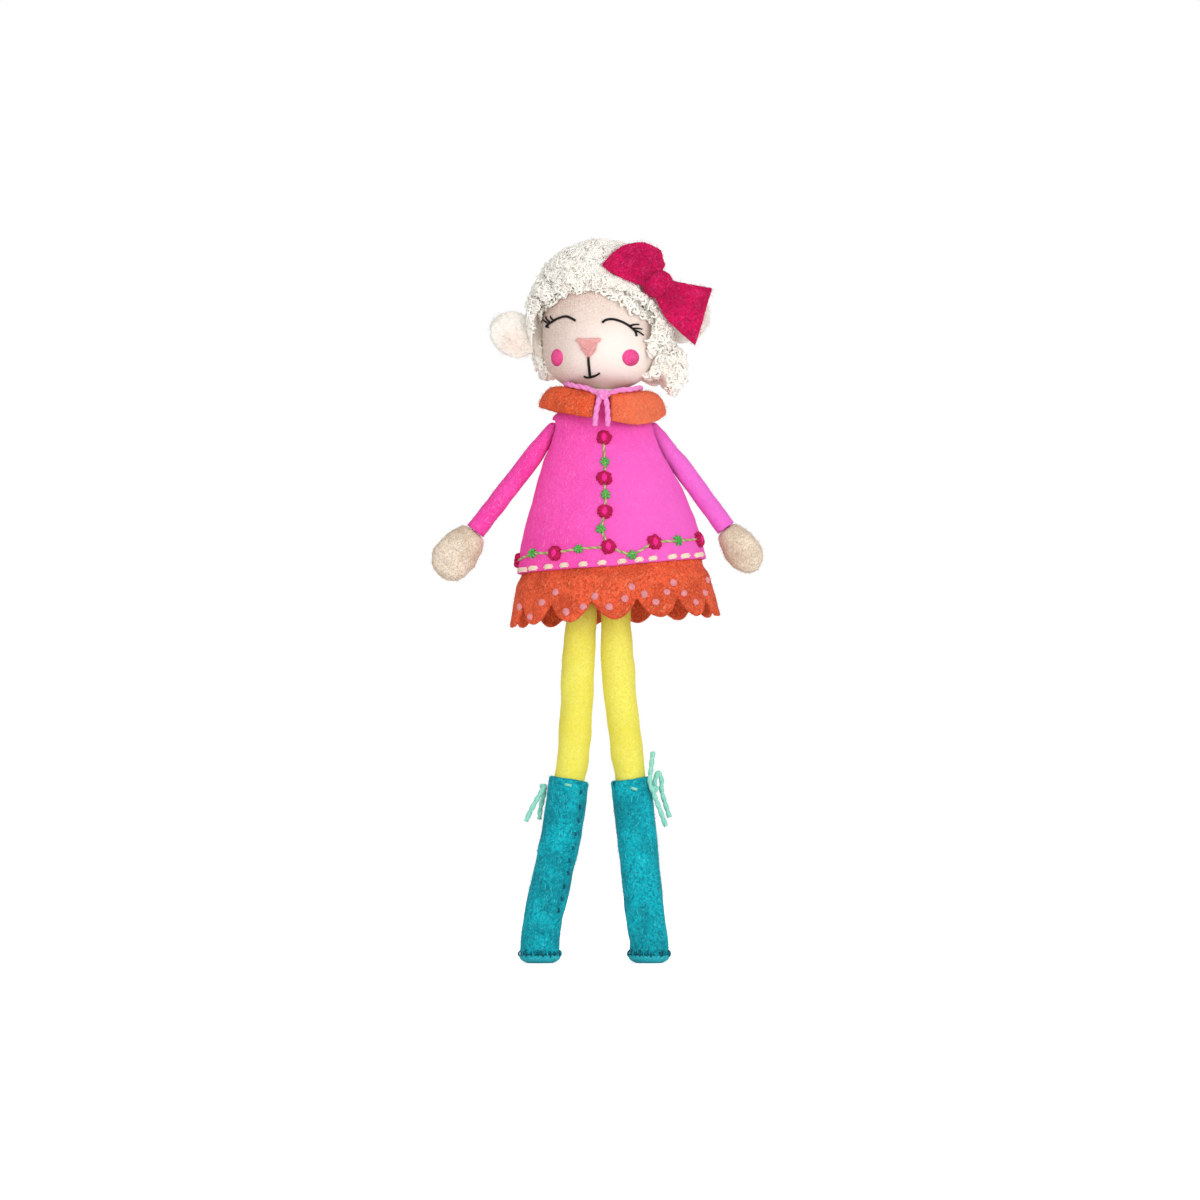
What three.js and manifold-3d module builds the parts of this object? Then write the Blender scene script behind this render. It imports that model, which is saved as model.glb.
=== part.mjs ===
// A felt lamb doll: stuffed head, body and limbs in sewn felt covers, dressed in a coat, boots and a bow.
// Millimetres, +Z up. The doll stands on its boot soles and faces -Y, with its left hand on +X.
import * as THREE from 'three';
import { mergeVertices } from 'three/addons/utils/BufferGeometryUtils.js';
import Module from 'manifold-3d';

const wasm = await Module();
wasm.setup();

// Cloth, yarn, thread and the clearance between neighbouring pieces
const FELT = 2.2;
const GAP = 0.3;
const YARN = 2.8;
const THREAD = 1.2;

// Heights: the hips stand on the legs, and the body, neck and head build up from them
const HIP_Z = 175;
const TORSO_LENGTH = 106;
const NECK_LENGTH = 5.5;
const CHIN_DROP = 29.5;
const TORSO_TOP_Z = HIP_Z + TORSO_LENGTH;
const HEAD_Z = TORSO_TOP_Z + NECK_LENGTH + CHIN_DROP;

// Head: a round-jawed ball, turned a little to the doll's right
const HEAD_X = -1.5;
const HEAD_HALF_WIDTH = 29;
const HEAD_HALF_DEPTH = 28;
const CROWN_RISE = 36;
const JAW_POWER = 3;
const FACE_TURN = THREE.MathUtils.degToRad(-12.8);
const NECK_OPENING_ANGLE = THREE.MathUtils.degToRad(9);

// Wool wig: thickness over the head, lumps of curls, hairline above the head's centre and nape below it, and
// how much thinner the wool is low on the doll's right
const WIG_THICKNESS = 8.5;
const WIG_LUMP = 1.1;
const LUMPS_AROUND = 9;
const LUMP_SHIFT = 1.7;
const HAIRLINE_RISE = 19.5;
const NAPE_DROP = 23.5;
const WIG_FRONT_Y = -3;
const WIG_SLIM = 4.5;

// Ears: rounded leaves hinged on their roots
const EAR_LENGTH = 20;
const EAR_HALF_HEIGHT = 11.5;
const EAR_THICKNESS = 3;
const EAR_ROOT_RADIUS = 1.3;
const EAR_SINK = 3;
const EAR_SWING = THREE.MathUtils.degToRad(30);

// Face: thread arcs with lashes, nose, mouth and cheek spots
const EYE_RISE = 5;
const LASH_LENGTH = 4.2;
const NOSE_HALF_WIDTH = 5.6;
const NOSE_HEIGHT = 7.5;
const NOSE_DROP = 7.9;
const MOUTH_DROP = 13;
const MOUTH_HEIGHT = 9.5;
const SMILE_HALF_WIDTH = 4;
const CHEEK_RADIUS = 4.1;
const PATCH_THICKNESS = 1;

// Bow: one pinched felt strip and the band round its middle
const BOW_END_HALF_WIDTH = 13;
const BOW_MIDDLE_HALF_WIDTH = 4.6;
const BOW_PLEAT = 1.6;
const BAND_WIDTH = 5.4;
const BAND_EASE = 1.2;
const BAND_SWELL = 0.5;

// Neck, body and collar
const NECK_RADIUS = 10;
const HIP_EASE = 0.4;
const COLLAR_INNER_Z = TORSO_TOP_Z + 2;
const COLLAR_INNER_RADIUS = 13;
const COLLAR_HALF_WIDTH = 31;
const COLLAR_HALF_DEPTH = 24.5;
const COLLAR_DROP = 9.25;
const COLLAR_SPLIT = THREE.MathUtils.degToRad(8);
const COLLAR_ROLL = 0.05;
const TIE_SEAT = 0.17;
const TIE_DROP = 16;
const KNOT_RADIUS = 2.3;
const KNOT_Y = -22.1;
const KNOT_RISE = 2.2;

// Coat: half width and half depth at each height before the whole garment leans about the neck
const COAT_LEAN = -0.055;
const COAT_TOP_Z = TORSO_TOP_Z - 1;
const COAT_SEAM_Z = HIP_Z + 21.5;
const HEM_LAP = 5.5;
const COAT_WIDTHS = [
  [COAT_TOP_Z, 13.2], [COAT_TOP_Z - 5, 20.5], [COAT_TOP_Z - 12, 25.7], [COAT_TOP_Z - 26, 31],
  [COAT_TOP_Z - 39, 35.5], [COAT_TOP_Z - 49, 38.6], [COAT_TOP_Z - 59, 42.2], [COAT_TOP_Z - 69, 45.1],
  [COAT_SEAM_Z, 47.9],
];
const COAT_DEPTHS = [
  [COAT_TOP_Z, 13], [COAT_TOP_Z - 5, 15], [COAT_TOP_Z - 12, 17.5], [COAT_TOP_Z - 39, 21],
  [COAT_TOP_Z - 59, 26], [COAT_SEAM_Z, 30],
];
const HEM_LAPPED_Z = COAT_SEAM_Z - 0.7;
const HEM_TURN_Z = COAT_SEAM_Z - HEM_LAP;
const HEM_FLARE = [
  [HEM_LAPPED_Z, -FELT - 0.4], [HEM_TURN_Z, 0.4], [COAT_SEAM_Z - 16.5, 2.9], [COAT_SEAM_Z - 28.5, 5.6],
];
const FRONT_FLARE_SHARE = 0.6;
const SCALLOPS = 7;
const SCALLOP_CUSP_Z = COAT_SEAM_Z - 15.9;
const SCALLOP_DEPTH = 10.6;
const ROSE_RADIUS = 4;
const ROSE_HEIGHT = 2.4;

// Arms: a pivot at each shoulder, a bent sleeve and a mitten
const SHOULDER_X = 27;
const SHOULDER_Z = TORSO_TOP_Z - 13;
const ARM_TOP_RADIUS = 4.7;
const ARM_RADIUS = 5;
const SHANK_RADIUS = 2.2;
const SHANK_LENGTH = 1;
const HAND_LENGTH_RIGHT = 29;
const HAND_LENGTH_LEFT = 26;
const HAND_HALF_WIDTH_RIGHT = 11;
const HAND_HALF_WIDTH_LEFT = 9.2;
const HAND_HALF_DEPTH = 7.4;

// Legs: a pivot at each hip, a slim stuffed leg and a tall boot over its lower half
const HIP_RIGHT_X = -10.3;
const HIP_LEFT_X = 6.3;
const LEG_TOP_RADIUS = 7.4;
const LEG_RADIUS = 8.3;
const ANKLE_RADIUS = 7.5;
const BOOT_TOP_Z = 92;
const BOOT_RADIUS = 10.1;
const SOLE_DOME = 4.4;
const SOLE_FLAT = 0.5;
const SOLE_LIP = 0.7;
const SOLE_POWER = 2.6;

// Points sampled round and along the forms
const HEAD_SIDES = 24;
const LIMB_SIDES = 12;
const LIMB_STEP = 16;
const LEAST_STEP = 0.02;
const YARN_SIDES = 8;

const vec = (x, y, z) => new THREE.Vector3(x, y, z);
const UP = vec(0, 0, 1);
const ACROSS = vec(0, 1, 0);

// Straight-line reading of a table of [place, value] rows that fall in place
function readTable(table, place) {
  let row = 1;
  while (row < table.length - 1 && place < table[row][0]) {
    row += 1;
  }
  const [highPlace, highValue] = table[row - 1];
  const [lowPlace, lowValue] = table[row];
  const share = THREE.MathUtils.clamp((highPlace - place) / (highPlace - lowPlace), 0, 1);
  return THREE.MathUtils.lerp(highValue, lowValue, share);
}

const evenly = (count, from, to) =>
  Array.from({ length: count + 1 }, (_, step) => THREE.MathUtils.lerp(from, to, step / count));

const aroundCircle = (count) => evenly(count, 0, 2 * Math.PI).slice(0, count);

// Turns the faces of a closed geometry outwards
function facesOut(geometry) {
  const position = geometry.attributes.position;
  const index = geometry.index.array;
  const [a, b, c] = [vec(0, 0, 0), vec(0, 0, 0), vec(0, 0, 0)];
  let volume = 0;
  for (let face = 0; face < index.length; face += 3) {
    a.fromBufferAttribute(position, index[face]);
    b.fromBufferAttribute(position, index[face + 1]);
    c.fromBufferAttribute(position, index[face + 2]);
    volume += a.dot(b.cross(c));
  }
  if (volume < 0) {
    for (let face = 0; face < index.length; face += 3) {
      [index[face + 1], index[face + 2]] = [index[face + 2], index[face + 1]];
    }
  }
  geometry.computeVertexNormals();
  return geometry;
}

function closedGeometry(points, triangles) {
  const geometry = new THREE.BufferGeometry();
  const places = points.flatMap((point) => [point.x, point.y, point.z]);
  geometry.setAttribute('position', new THREE.Float32BufferAttribute(places, 3));
  geometry.setIndex(triangles);
  return facesOut(geometry);
}

// Skin over a row of rings. A ringed skin joins its last ring to its first; the others end in fans.
function loft(rings, ringed = false) {
  const sides = rings[0].length;
  const points = rings.flat();
  const triangles = [];
  const bands = ringed ? rings.length : rings.length - 1;
  for (let band = 0; band < bands; band += 1) {
    const near = band * sides;
    const far = ((band + 1) % rings.length) * sides;
    for (let side = 0; side < sides; side += 1) {
      const next = (side + 1) % sides;
      triangles.push(near + side, near + next, far + next, near + side, far + next, far + side);
    }
  }
  if (!ringed) {
    for (const [ring, flip] of [[0, true], [rings.length - 1, false]]) {
      const middle = rings[ring].reduce((sum, point) => sum.add(point), vec(0, 0, 0)).divideScalar(sides);
      points.push(middle);
      for (let side = 0; side < sides; side += 1) {
        const here = ring * sides + side;
        const next = ring * sides + ((side + 1) % sides);
        triangles.push(points.length - 1, flip ? next : here, flip ? here : next);
      }
    }
  }
  return closedGeometry(points, triangles);
}

// Felt of even thickness over surface(p, q), sampled on rows of [p, q] pairs. The felt lies from
// `low` to `high` along the surface's normal; either may be a function of p and q.
function feltSheet(surface, grid, low, high) {
  const step = 1e-3;
  const rows = grid.length;
  const columns = grid[0].length;
  const reach = (value, p, q) => (typeof value === 'function' ? value(p, q) : value);
  const points = [];
  for (const layer of [high, low]) {
    for (const [p, q] of grid.flat()) {
      const alongP = surface(p + step, q).sub(surface(p - step, q));
      const alongQ = surface(p, q + step).sub(surface(p, q - step));
      const normal = alongP.cross(alongQ).normalize();
      points.push(surface(p, q).addScaledVector(normal, reach(layer, p, q)));
    }
  }
  const at = (layer, row, column) => layer * rows * columns + row * columns + column;
  const triangles = [];
  const quad = (a, b, c, d) => triangles.push(a, b, c, a, c, d);
  for (let row = 0; row < rows - 1; row += 1) {
    for (let column = 0; column < columns - 1; column += 1) {
      quad(at(0, row, column), at(0, row, column + 1), at(0, row + 1, column + 1), at(0, row + 1, column));
      quad(at(1, row, column), at(1, row + 1, column), at(1, row + 1, column + 1), at(1, row, column + 1));
    }
  }
  for (let column = 0; column < columns - 1; column += 1) {
    quad(at(0, 0, column), at(1, 0, column), at(1, 0, column + 1), at(0, 0, column + 1));
    const last = rows - 1;
    quad(at(0, last, column + 1), at(1, last, column + 1), at(1, last, column), at(0, last, column));
  }
  for (let row = 0; row < rows - 1; row += 1) {
    quad(at(0, row + 1, 0), at(1, row + 1, 0), at(1, row, 0), at(0, row, 0));
    const last = columns - 1;
    quad(at(0, row, last), at(1, row, last), at(1, row + 1, last), at(0, row + 1, last));
  }
  return closedGeometry(points, triangles);
}

// Round cord along a smooth line through the given points
function cordTube(points, diameter, steps) {
  const section = aroundCircle(YARN_SIDES)
    .map((angle) => new THREE.Vector2(Math.cos(angle), Math.sin(angle)).multiplyScalar(diameter / 2));
  return new THREE.ExtrudeGeometry(new THREE.Shape(section), {
    steps,
    bevelEnabled: false,
    extrudePath: new THREE.CatmullRomCurve3(points, false, 'centripetal'),
  });
}

// Joining and cutting of closed geometries
function toSolid(geometry) {
  const plain = geometry.clone();
  plain.deleteAttribute('normal');
  plain.deleteAttribute('uv');
  const merged = mergeVertices(plain, 1e-4);
  return new wasm.Manifold(new wasm.Mesh({
    numProp: 3,
    vertProperties: new Float32Array(merged.attributes.position.array),
    triVerts: new Uint32Array(merged.index.array),
  }));
}

function toGeometry(solid) {
  const mesh = solid.getMesh();
  const geometry = new THREE.BufferGeometry();
  geometry.setAttribute('position', new THREE.Float32BufferAttribute(mesh.vertProperties, 3));
  geometry.setIndex(Array.from(mesh.triVerts));
  geometry.computeVertexNormals();
  return geometry;
}

const join = (first, ...others) =>
  toGeometry(others.reduce((solid, other) => solid.add(toSolid(other)), toSolid(first)));
const cut = (body, ...tools) =>
  toGeometry(tools.reduce((solid, tool) => solid.subtract(toSolid(tool)), toSolid(body)));

// Colours of the felts, wools and threads
const COLOURS = {
  coat: '#f02f9c',
  hem: '#dd5a30',
  collar: '#d85a2c',
  legs: '#e6d92f',
  boots: '#1397a5',
  soles: '#2fa9b6',
  bow: '#c01762',
  wig: '#efe9da',
  ear: '#f3ece0',
  face: '#e6c7b4',
  hands: '#c9b18c',
  tie: '#ee6fb4',
  lace: '#93dcc4',
  thread: '#16120f',
  nose: '#f07f7c',
  cheek: '#ee3f86',
  rose: '#b80f4e',
  filling: '#f1eee6',
};

const doll = new THREE.Group();

function addPiece(parent, name, colour, geometry) {
  const material = new THREE.MeshStandardMaterial({ color: COLOURS[colour], roughness: 0.95, metalness: 0 });
  const mesh = new THREE.Mesh(geometry, material);
  mesh.name = name;
  parent.add(mesh);
  return mesh;
}

function addGroup(parent, name, x, y, z) {
  const group = new THREE.Group();
  group.name = name;
  group.position.set(x, y, z);
  parent.add(group);
  return group;
}

// Head form about its own centre, grown or shrunk evenly
function headOval(rise, grow) {
  const below = rise < 0;
  const ratio = Math.min(Math.abs(rise) / ((below ? CHIN_DROP : CROWN_RISE) + grow), 1);
  const power = below ? JAW_POWER : 2;
  return {
    width: (HEAD_HALF_WIDTH + grow) * (1 - ratio ** power) ** (1 / power),
    depth: (HEAD_HALF_DEPTH + grow) * Math.sqrt(1 - ratio ** 2),
  };
}

// Point on the head at an angle from straight ahead (to the doll's left) and a rise from its centre
function headPoint(angle, rise, grow) {
  const { width, depth } = headOval(rise, grow);
  return vec(width * Math.sin(angle), -depth * Math.cos(angle), rise).applyAxisAngle(UP, FACE_TURN);
}

function headRings(grow, openingAngle) {
  const jaw = evenly(7, openingAngle, Math.PI / 2).map((angle) => -(CHIN_DROP + grow) * Math.cos(angle));
  const crown = evenly(6, 0, Math.PI / 2).slice(1, -1).map((angle) => (CROWN_RISE + grow) * Math.sin(angle));
  const top = (CROWN_RISE + grow) * 0.995;
  const around = aroundCircle(HEAD_SIDES);
  return [...jaw, ...crown, top].map((rise) => around.map((angle) => headPoint(angle, rise, grow)));
}

function headCover() {
  const outside = headRings(0, NECK_OPENING_ANGLE).reverse();
  return loft([...outside, ...headRings(-FELT, NECK_OPENING_ANGLE)]);
}

const headForm = (grow) => loft(headRings(grow, THREE.MathUtils.degToRad(4)));

// Strip of the bow: its middle line in shares of the head's half sizes, the slant of its width and the width
// itself, from end to end
const BOW_LINE = new THREE.CatmullRomCurve3([
  [0.3966, -0.8036, 1.0694], [0.6724, -0.8929, 0.8194], [0.9483, -0.9107, 0.6111], [1.3103, -0.8393, 0.4028],
  [1.7931, -0.625, 0.1806],
].map(([wide, deep, high]) => vec(wide * HEAD_HALF_WIDTH, deep * HEAD_HALF_DEPTH, high * CROWN_RISE)));
const BOW_LENGTH = BOW_LINE.getLength();
const BOW_SLANTS = [[1, 76], [0.5, 50], [0, 32]];

function bowSurface(along, across, pleatDepth) {
  const inside = THREE.MathUtils.clamp(along, 0, 1);
  const past = (along - inside) * BOW_LENGTH;
  const middle = BOW_LINE.getPoint(inside).addScaledVector(BOW_LINE.getTangent(inside), past);
  const slant = THREE.MathUtils.degToRad(readTable(BOW_SLANTS, along));
  const spread = Math.min(Math.abs(along - 0.5) / 0.36, 1);
  const full = along < 0.5 && across > 0 ? Math.max(spread - 0.17, 0) ** 0.75 : spread ** 1.2;
  const width = THREE.MathUtils.lerp(BOW_MIDDLE_HALF_WIDTH, BOW_END_HALF_WIDTH, full);
  const pleat = pleatDepth * Math.cos(across * 2.5 * Math.PI) * (1 - spread);
  const cup = 3.4 * across ** 2 * spread;
  const side = vec(Math.cos(slant), 0, Math.sin(slant)).multiplyScalar(width * across);
  return middle.add(side).add(vec(0, cup - pleat, 0));
}

function bow() {
  const grid = evenly(12, 0, 1).map((along) => evenly(8, -1, 1).map((across) => [along, across]));
  return feltSheet((along, across) => bowSurface(along, across, BOW_PLEAT), grid, -FELT / 2, FELT / 2);
}

// Space that the bow takes in the wool, over its pleats and a little past its edges
function bowSpace() {
  const rowPast = GAP / BOW_LENGTH;
  const columnPast = (FELT / 2 + 2 * GAP) / BOW_MIDDLE_HALF_WIDTH;
  const columns = evenly(8, -1 - columnPast, 1 + columnPast);
  const grid = evenly(12, -rowPast, 1 + rowPast).map((along) => columns.map((across) => [along, across]));
  const half = FELT / 2 + BOW_PLEAT + GAP;
  return feltSheet((along, across) => bowSurface(along, across, 0), grid, -half, half);
}

// Band of felt round the middle of the bow, on an oval that clears the pleats
function bowBand(grow) {
  const middle = BOW_LINE.getPoint(0.5);
  const along = BOW_LINE.getTangent(0.5);
  const slant = THREE.MathUtils.degToRad(readTable(BOW_SLANTS, 0.5));
  const across = vec(Math.cos(slant), 0, Math.sin(slant));
  const out = across.clone().cross(along).normalize();
  const ring = (offset, swell) => aroundCircle(20).map((angle) => middle.clone()
    .addScaledVector(along, offset)
    .addScaledVector(across, (BOW_MIDDLE_HALF_WIDTH + 2 * BAND_EASE + swell) * Math.cos(angle))
    .addScaledVector(out, (BOW_PLEAT + FELT / 2 + BAND_EASE + swell) * Math.sin(angle)));
  const half = BAND_WIDTH / 2 + grow;
  const thick = FELT + grow;
  const outside = [ring(-half, thick), ring(0, thick + BAND_SWELL), ring(half, thick)];
  return grow > 0 ? loft(outside) : loft([...outside, ring(half, 0), ring(-half, 0)], true);
}

// Ears: side is 1 for the doll's left and -1 for its right, tipRise lifts the tip above the root
const EAR_ROOT_X = HEAD_HALF_WIDTH + WIG_THICKNESS - EAR_SINK;

function earHalfHeight(along) {
  const widest = 0.38;
  if (along < widest) {
    return EAR_HALF_HEIGHT * (0.72 + 0.28 * Math.sin((Math.PI / 2) * Math.max(along / widest, 0)));
  }
  return EAR_HALF_HEIGHT * Math.sqrt(Math.max(1 - ((along - widest) / (1 - widest)) ** 2, 0.02));
}

function ear(side, tipRise) {
  const surface = (along, across) => vec(
    side * EAR_LENGTH * along,
    3 * along * across ** 2,
    tipRise * along + earHalfHeight(along) * across,
  );
  const root = -EAR_ROOT_RADIUS / EAR_LENGTH;
  const rows = [root, 0, 0.12, 0.3, 0.5, 0.68, 0.82, 0.92, 0.98, 1];
  const grid = rows.map((along) => evenly(8, -1, 1).map((across) => [along, across]));
  const half = (along) => (EAR_THICKNESS / 2) * THREE.MathUtils.clamp(0.25 + (along - root) * 7, 0.25, 1);
  return feltSheet(surface, grid, (along) => -half(along), half);
}

// Groove in the wig in which an ear's root turns
function earGroove(side, rootRise) {
  const bottom = EAR_ROOT_RADIUS + GAP;
  const mouth = EAR_SINK + 6;
  const half = EAR_THICKNESS / 2 + GAP;
  const outline = new THREE.Shape([
    new THREE.Vector2(-bottom, -half), new THREE.Vector2(mouth, -half - mouth * Math.tan(EAR_SWING)),
    new THREE.Vector2(mouth, half + mouth * Math.tan(EAR_SWING)), new THREE.Vector2(-bottom, half),
  ]);
  const height = 2 * EAR_HALF_HEIGHT + 4;
  return new THREE.ExtrudeGeometry(outline, { depth: height, bevelEnabled: false })
    .translate(0, 0, -height / 2)
    .rotateZ(side > 0 ? 0 : Math.PI)
    .translate(side * EAR_ROOT_X, 0, rootRise);
}

const EAR_RISE_RIGHT = -3;
const EAR_RISE_LEFT = 4;

// Wig: a lumpy cap with longer locks on the doll's left, opened for the face, ears and bow
function wig() {
  const around = aroundCircle(28);
  const rings = evenly(13, 0.12, Math.PI - 0.12).map((polar, row) => around.map((angle) => {
    const wave = Math.sin(LUMPS_AROUND * angle + row * LUMP_SHIFT) * Math.sin(polar);
    const lump = 1 + (WIG_LUMP / HEAD_HALF_WIDTH) * wave;
    const height = polar < Math.PI / 2 ? CROWN_RISE + WIG_THICKNESS : CHIN_DROP + WIG_THICKNESS;
    const slim = WIG_SLIM * Math.max(-Math.cos(angle), 0) * Math.sqrt(Math.max(-Math.cos(polar), 0));
    const wide = (HEAD_HALF_WIDTH + WIG_THICKNESS) * Math.sin(polar) * lump - slim;
    const deep = (HEAD_HALF_DEPTH + WIG_THICKNESS) * Math.sin(polar) * lump;
    return vec(wide * Math.cos(angle), deep * Math.sin(angle), height * Math.cos(polar));
  }));
  const below = 2 * CHIN_DROP;
  const nape = new THREE.BoxGeometry(4 * HEAD_HALF_WIDTH, 4 * HEAD_HALF_DEPTH, below)
    .translate(0, 0, -NAPE_DROP - below / 2);
  const cap = cut(loft(rings), nape);
  const lock = (x, y, z, wide, long) => new THREE.SphereGeometry(1, 8, 6).rotateX(Math.PI / 2)
    .scale(wide, wide, long).translate(x, y, z);
  const reach = HEAD_HALF_WIDTH + WIG_THICKNESS;
  const locks = [
    lock(reach - 1, -1, -17, 6.5, 15), lock(reach - 4, 8, -16, 7, 15), lock(reach - 11, 17, -17, 7, 12),
    lock(12 - reach, 16, -15, 6.5, 11), lock(0, 23, -12, 8, 11),
  ];
  const half = HEAD_HALF_WIDTH + 3;
  const arch = new THREE.Shape()
    .moveTo(-half, -3 * CHIN_DROP)
    .lineTo(half, -3 * CHIN_DROP)
    .lineTo(half, 0)
    .quadraticCurveTo(half, HAIRLINE_RISE, 0, HAIRLINE_RISE)
    .quadraticCurveTo(-half, HAIRLINE_RISE, -half, 0);
  const opening = { depth: 3 * HEAD_HALF_DEPTH, bevelEnabled: false, curveSegments: 8 };
  const face = new THREE.ExtrudeGeometry(arch, opening)
    .rotateX(Math.PI / 2)
    .translate(0, WIG_FRONT_Y, 0)
    .rotateZ(FACE_TURN);
  return cut(
    join(cap, ...locks), headForm(GAP), face, earGroove(-1, EAR_RISE_RIGHT), earGroove(1, EAR_RISE_LEFT),
    bowSpace(), bowBand(GAP),
  );
}

// Embroidery that lies on the face: angles in degrees from straight ahead, rises from the head's centre
const onFace = (degrees, rise) => headPoint(THREE.MathUtils.degToRad(degrees), rise, THREAD / 2 + GAP);

function eye(side, innerRise, middleRise, outerRise) {
  const arc = cordTube([
    onFace(side * 14, innerRise), onFace(side * 24, middleRise), onFace(side * 40, middleRise - 0.6),
    onFace(side * 57, outerRise),
  ], THREAD, 10);
  const lashes = [[57, 0, 25], [54, 0.8, 62], [51, 1.6, 95]].map(([degrees, lift, slope]) => {
    const start = [side * degrees, outerRise + lift];
    const turn = THREE.MathUtils.degToRad(slope);
    const degreesOut = side * (degrees + (LASH_LENGTH / HEAD_HALF_WIDTH) * 57.3 * Math.cos(turn));
    return cordTube([onFace(...start), onFace(degreesOut, outerRise + lift + LASH_LENGTH * Math.sin(turn))],
      THREAD * 0.8, 2);
  });
  return join(arc, ...lashes);
}

const degreesAcross = (distance) => (distance / HEAD_HALF_DEPTH) * THREE.MathUtils.RAD2DEG;

function mouth() {
  const top = -MOUTH_DROP;
  const bottom = top - MOUTH_HEIGHT;
  const line = cordTube([onFace(0, top), onFace(1, (top + bottom) / 2), onFace(2, bottom)], THREAD, 4);
  const corner = degreesAcross(SMILE_HALF_WIDTH);
  const curve = [onFace(2 - corner, bottom + 0.9), onFace(2, bottom), onFace(2 + corner, bottom + 2)];
  const smile = cordTube(curve, THREAD, 6);
  return join(line, smile);
}

// Thin patch of felt on the face, over a rounded outline given as [degrees, rise] by share(angle)
function facePatch(share) {
  const surface = (degrees, rise) => headPoint(THREE.MathUtils.degToRad(degrees), rise, 0);
  const ring = (scale, lift) => aroundCircle(12).map((angle) => {
    const [degrees, rise] = share(angle, scale);
    return surface(degrees, rise).add(surface(degrees, rise).setZ(0).normalize().multiplyScalar(lift));
  });
  const low = GAP;
  const high = GAP + PATCH_THICKNESS;
  const under = [ring(0.35, low), ring(0.7, low), ring(1, low)];
  const over = [ring(1, (low + high) / 2), ring(0.75, high), ring(0.35, high)];
  return loft([...under, ...over]);
}

function cheek(degrees, rise) {
  return facePatch((angle, scale) => [
    degrees + degreesAcross(CHEEK_RADIUS) * scale * Math.cos(angle),
    rise + CHEEK_RADIUS * scale * Math.sin(angle),
  ]);
}

// Nose: a soft triangle, wide at the top
function nose() {
  return facePatch((angle, scale) => {
    const pinch = 0.62 + 0.38 * Math.sin(angle);
    return [
      degreesAcross(NOSE_HALF_WIDTH) * scale * Math.cos(angle) * pinch,
      (NOSE_HEIGHT / 2) * scale * Math.sin(angle) - NOSE_DROP,
    ];
  });
}

function addHead() {
  const head = addGroup(doll, 'head_centre', HEAD_X, 0, HEAD_Z);
  addPiece(head, 'head_cover', 'face', headCover());
  addPiece(head, 'head_stuffing', 'filling', headForm(-FELT - GAP));
  addPiece(head, 'wool_wig', 'wig', wig());
  addPiece(head, 'bow', 'bow', bow());
  addPiece(head, 'bow_band', 'bow', bowBand(0));
  addPiece(head, 'eye_right', 'thread', eye(-1, EYE_RISE, 1.4 * EYE_RISE, 0.6 * EYE_RISE));
  addPiece(head, 'eye_left', 'thread', eye(1, 0.8 * EYE_RISE, 1.12 * EYE_RISE, -0.2 * EYE_RISE));
  addPiece(head, 'mouth', 'thread', mouth());
  addPiece(head, 'nose', 'nose', nose());
  addPiece(head, 'cheek_right', 'cheek', cheek(-47, -14));
  addPiece(head, 'cheek_left', 'cheek', cheek(44, -14));
  const earRight = addGroup(head, 'ear_root_right', -EAR_ROOT_X, 0, EAR_RISE_RIGHT);
  addPiece(earRight, 'ear_right', 'ear', ear(-1, 3));
  const earLeft = addGroup(head, 'ear_root_left', EAR_ROOT_X, 0, EAR_RISE_LEFT);
  addPiece(earLeft, 'ear_left', 'ear', ear(1, 4));
}

// Body: half width and half depth of the stuffed bag from the neck opening down
const TORSO_BOTTOM_Z = HIP_Z + LEG_TOP_RADIUS + GAP + SHANK_LENGTH + HIP_EASE;
const SHOULDER_INSIDE = SHOULDER_X - ARM_TOP_RADIUS - SHANK_LENGTH - 2 * GAP;
const TORSO_FORM = [
  [TORSO_TOP_Z, NECK_RADIUS - 1, NECK_RADIUS - 1], [TORSO_TOP_Z - 4, 11.6, 10.6], [SHOULDER_Z + 4, 16.5, 13],
  [SHOULDER_Z, SHOULDER_INSIDE, 14], [SHOULDER_Z - 8, SHOULDER_INSIDE, 14.6],
  [SHOULDER_Z - 23, 22.5, 15.4], [HIP_Z + 40, 23.5, 16.5], [HIP_Z + 19, 22.5, 15.5],
  [TORSO_BOTTOM_Z + 4, 20.5, 14], [TORSO_BOTTOM_Z + 1, 18, 12], [TORSO_BOTTOM_Z, 14.5, 9],
];

function torsoRings(inset) {
  const around = aroundCircle(20);
  const last = TORSO_FORM.length - 1;
  return TORSO_FORM.map(([z, width, depth], row) => {
    const lift = row > last - 2 ? inset : 0;
    const [wide, deep] = [width - inset, depth - inset];
    return around.map((angle) => vec(wide * Math.cos(angle), deep * Math.sin(angle), z + lift));
  });
}

function torsoCover() {
  return loft([...torsoRings(0).reverse(), ...torsoRings(FELT)]);
}

const torsoStuffing = () => loft(torsoRings(FELT + GAP));

function neck() {
  const bottom = TORSO_TOP_Z + GAP;
  const top = HEAD_Z - CHIN_DROP - GAP;
  const profile = [[0, bottom], [NECK_RADIUS - 1, bottom], [NECK_RADIUS, bottom + 1], [NECK_RADIUS, top - 1],
    [NECK_RADIUS - 1, top], [0, top]].map(([radius, height]) => new THREE.Vector2(radius, height));
  return new THREE.LatheGeometry(profile, 24).rotateX(Math.PI / 2).translate(HEAD_X, 0, 0);
}

// Coat surface at an angle from the middle of the front and a height, before the garment leans
function coatSurface(angle, z) {
  return vec(readTable(COAT_WIDTHS, z) * Math.sin(angle), -readTable(COAT_DEPTHS, z) * Math.cos(angle), z);
}

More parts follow.
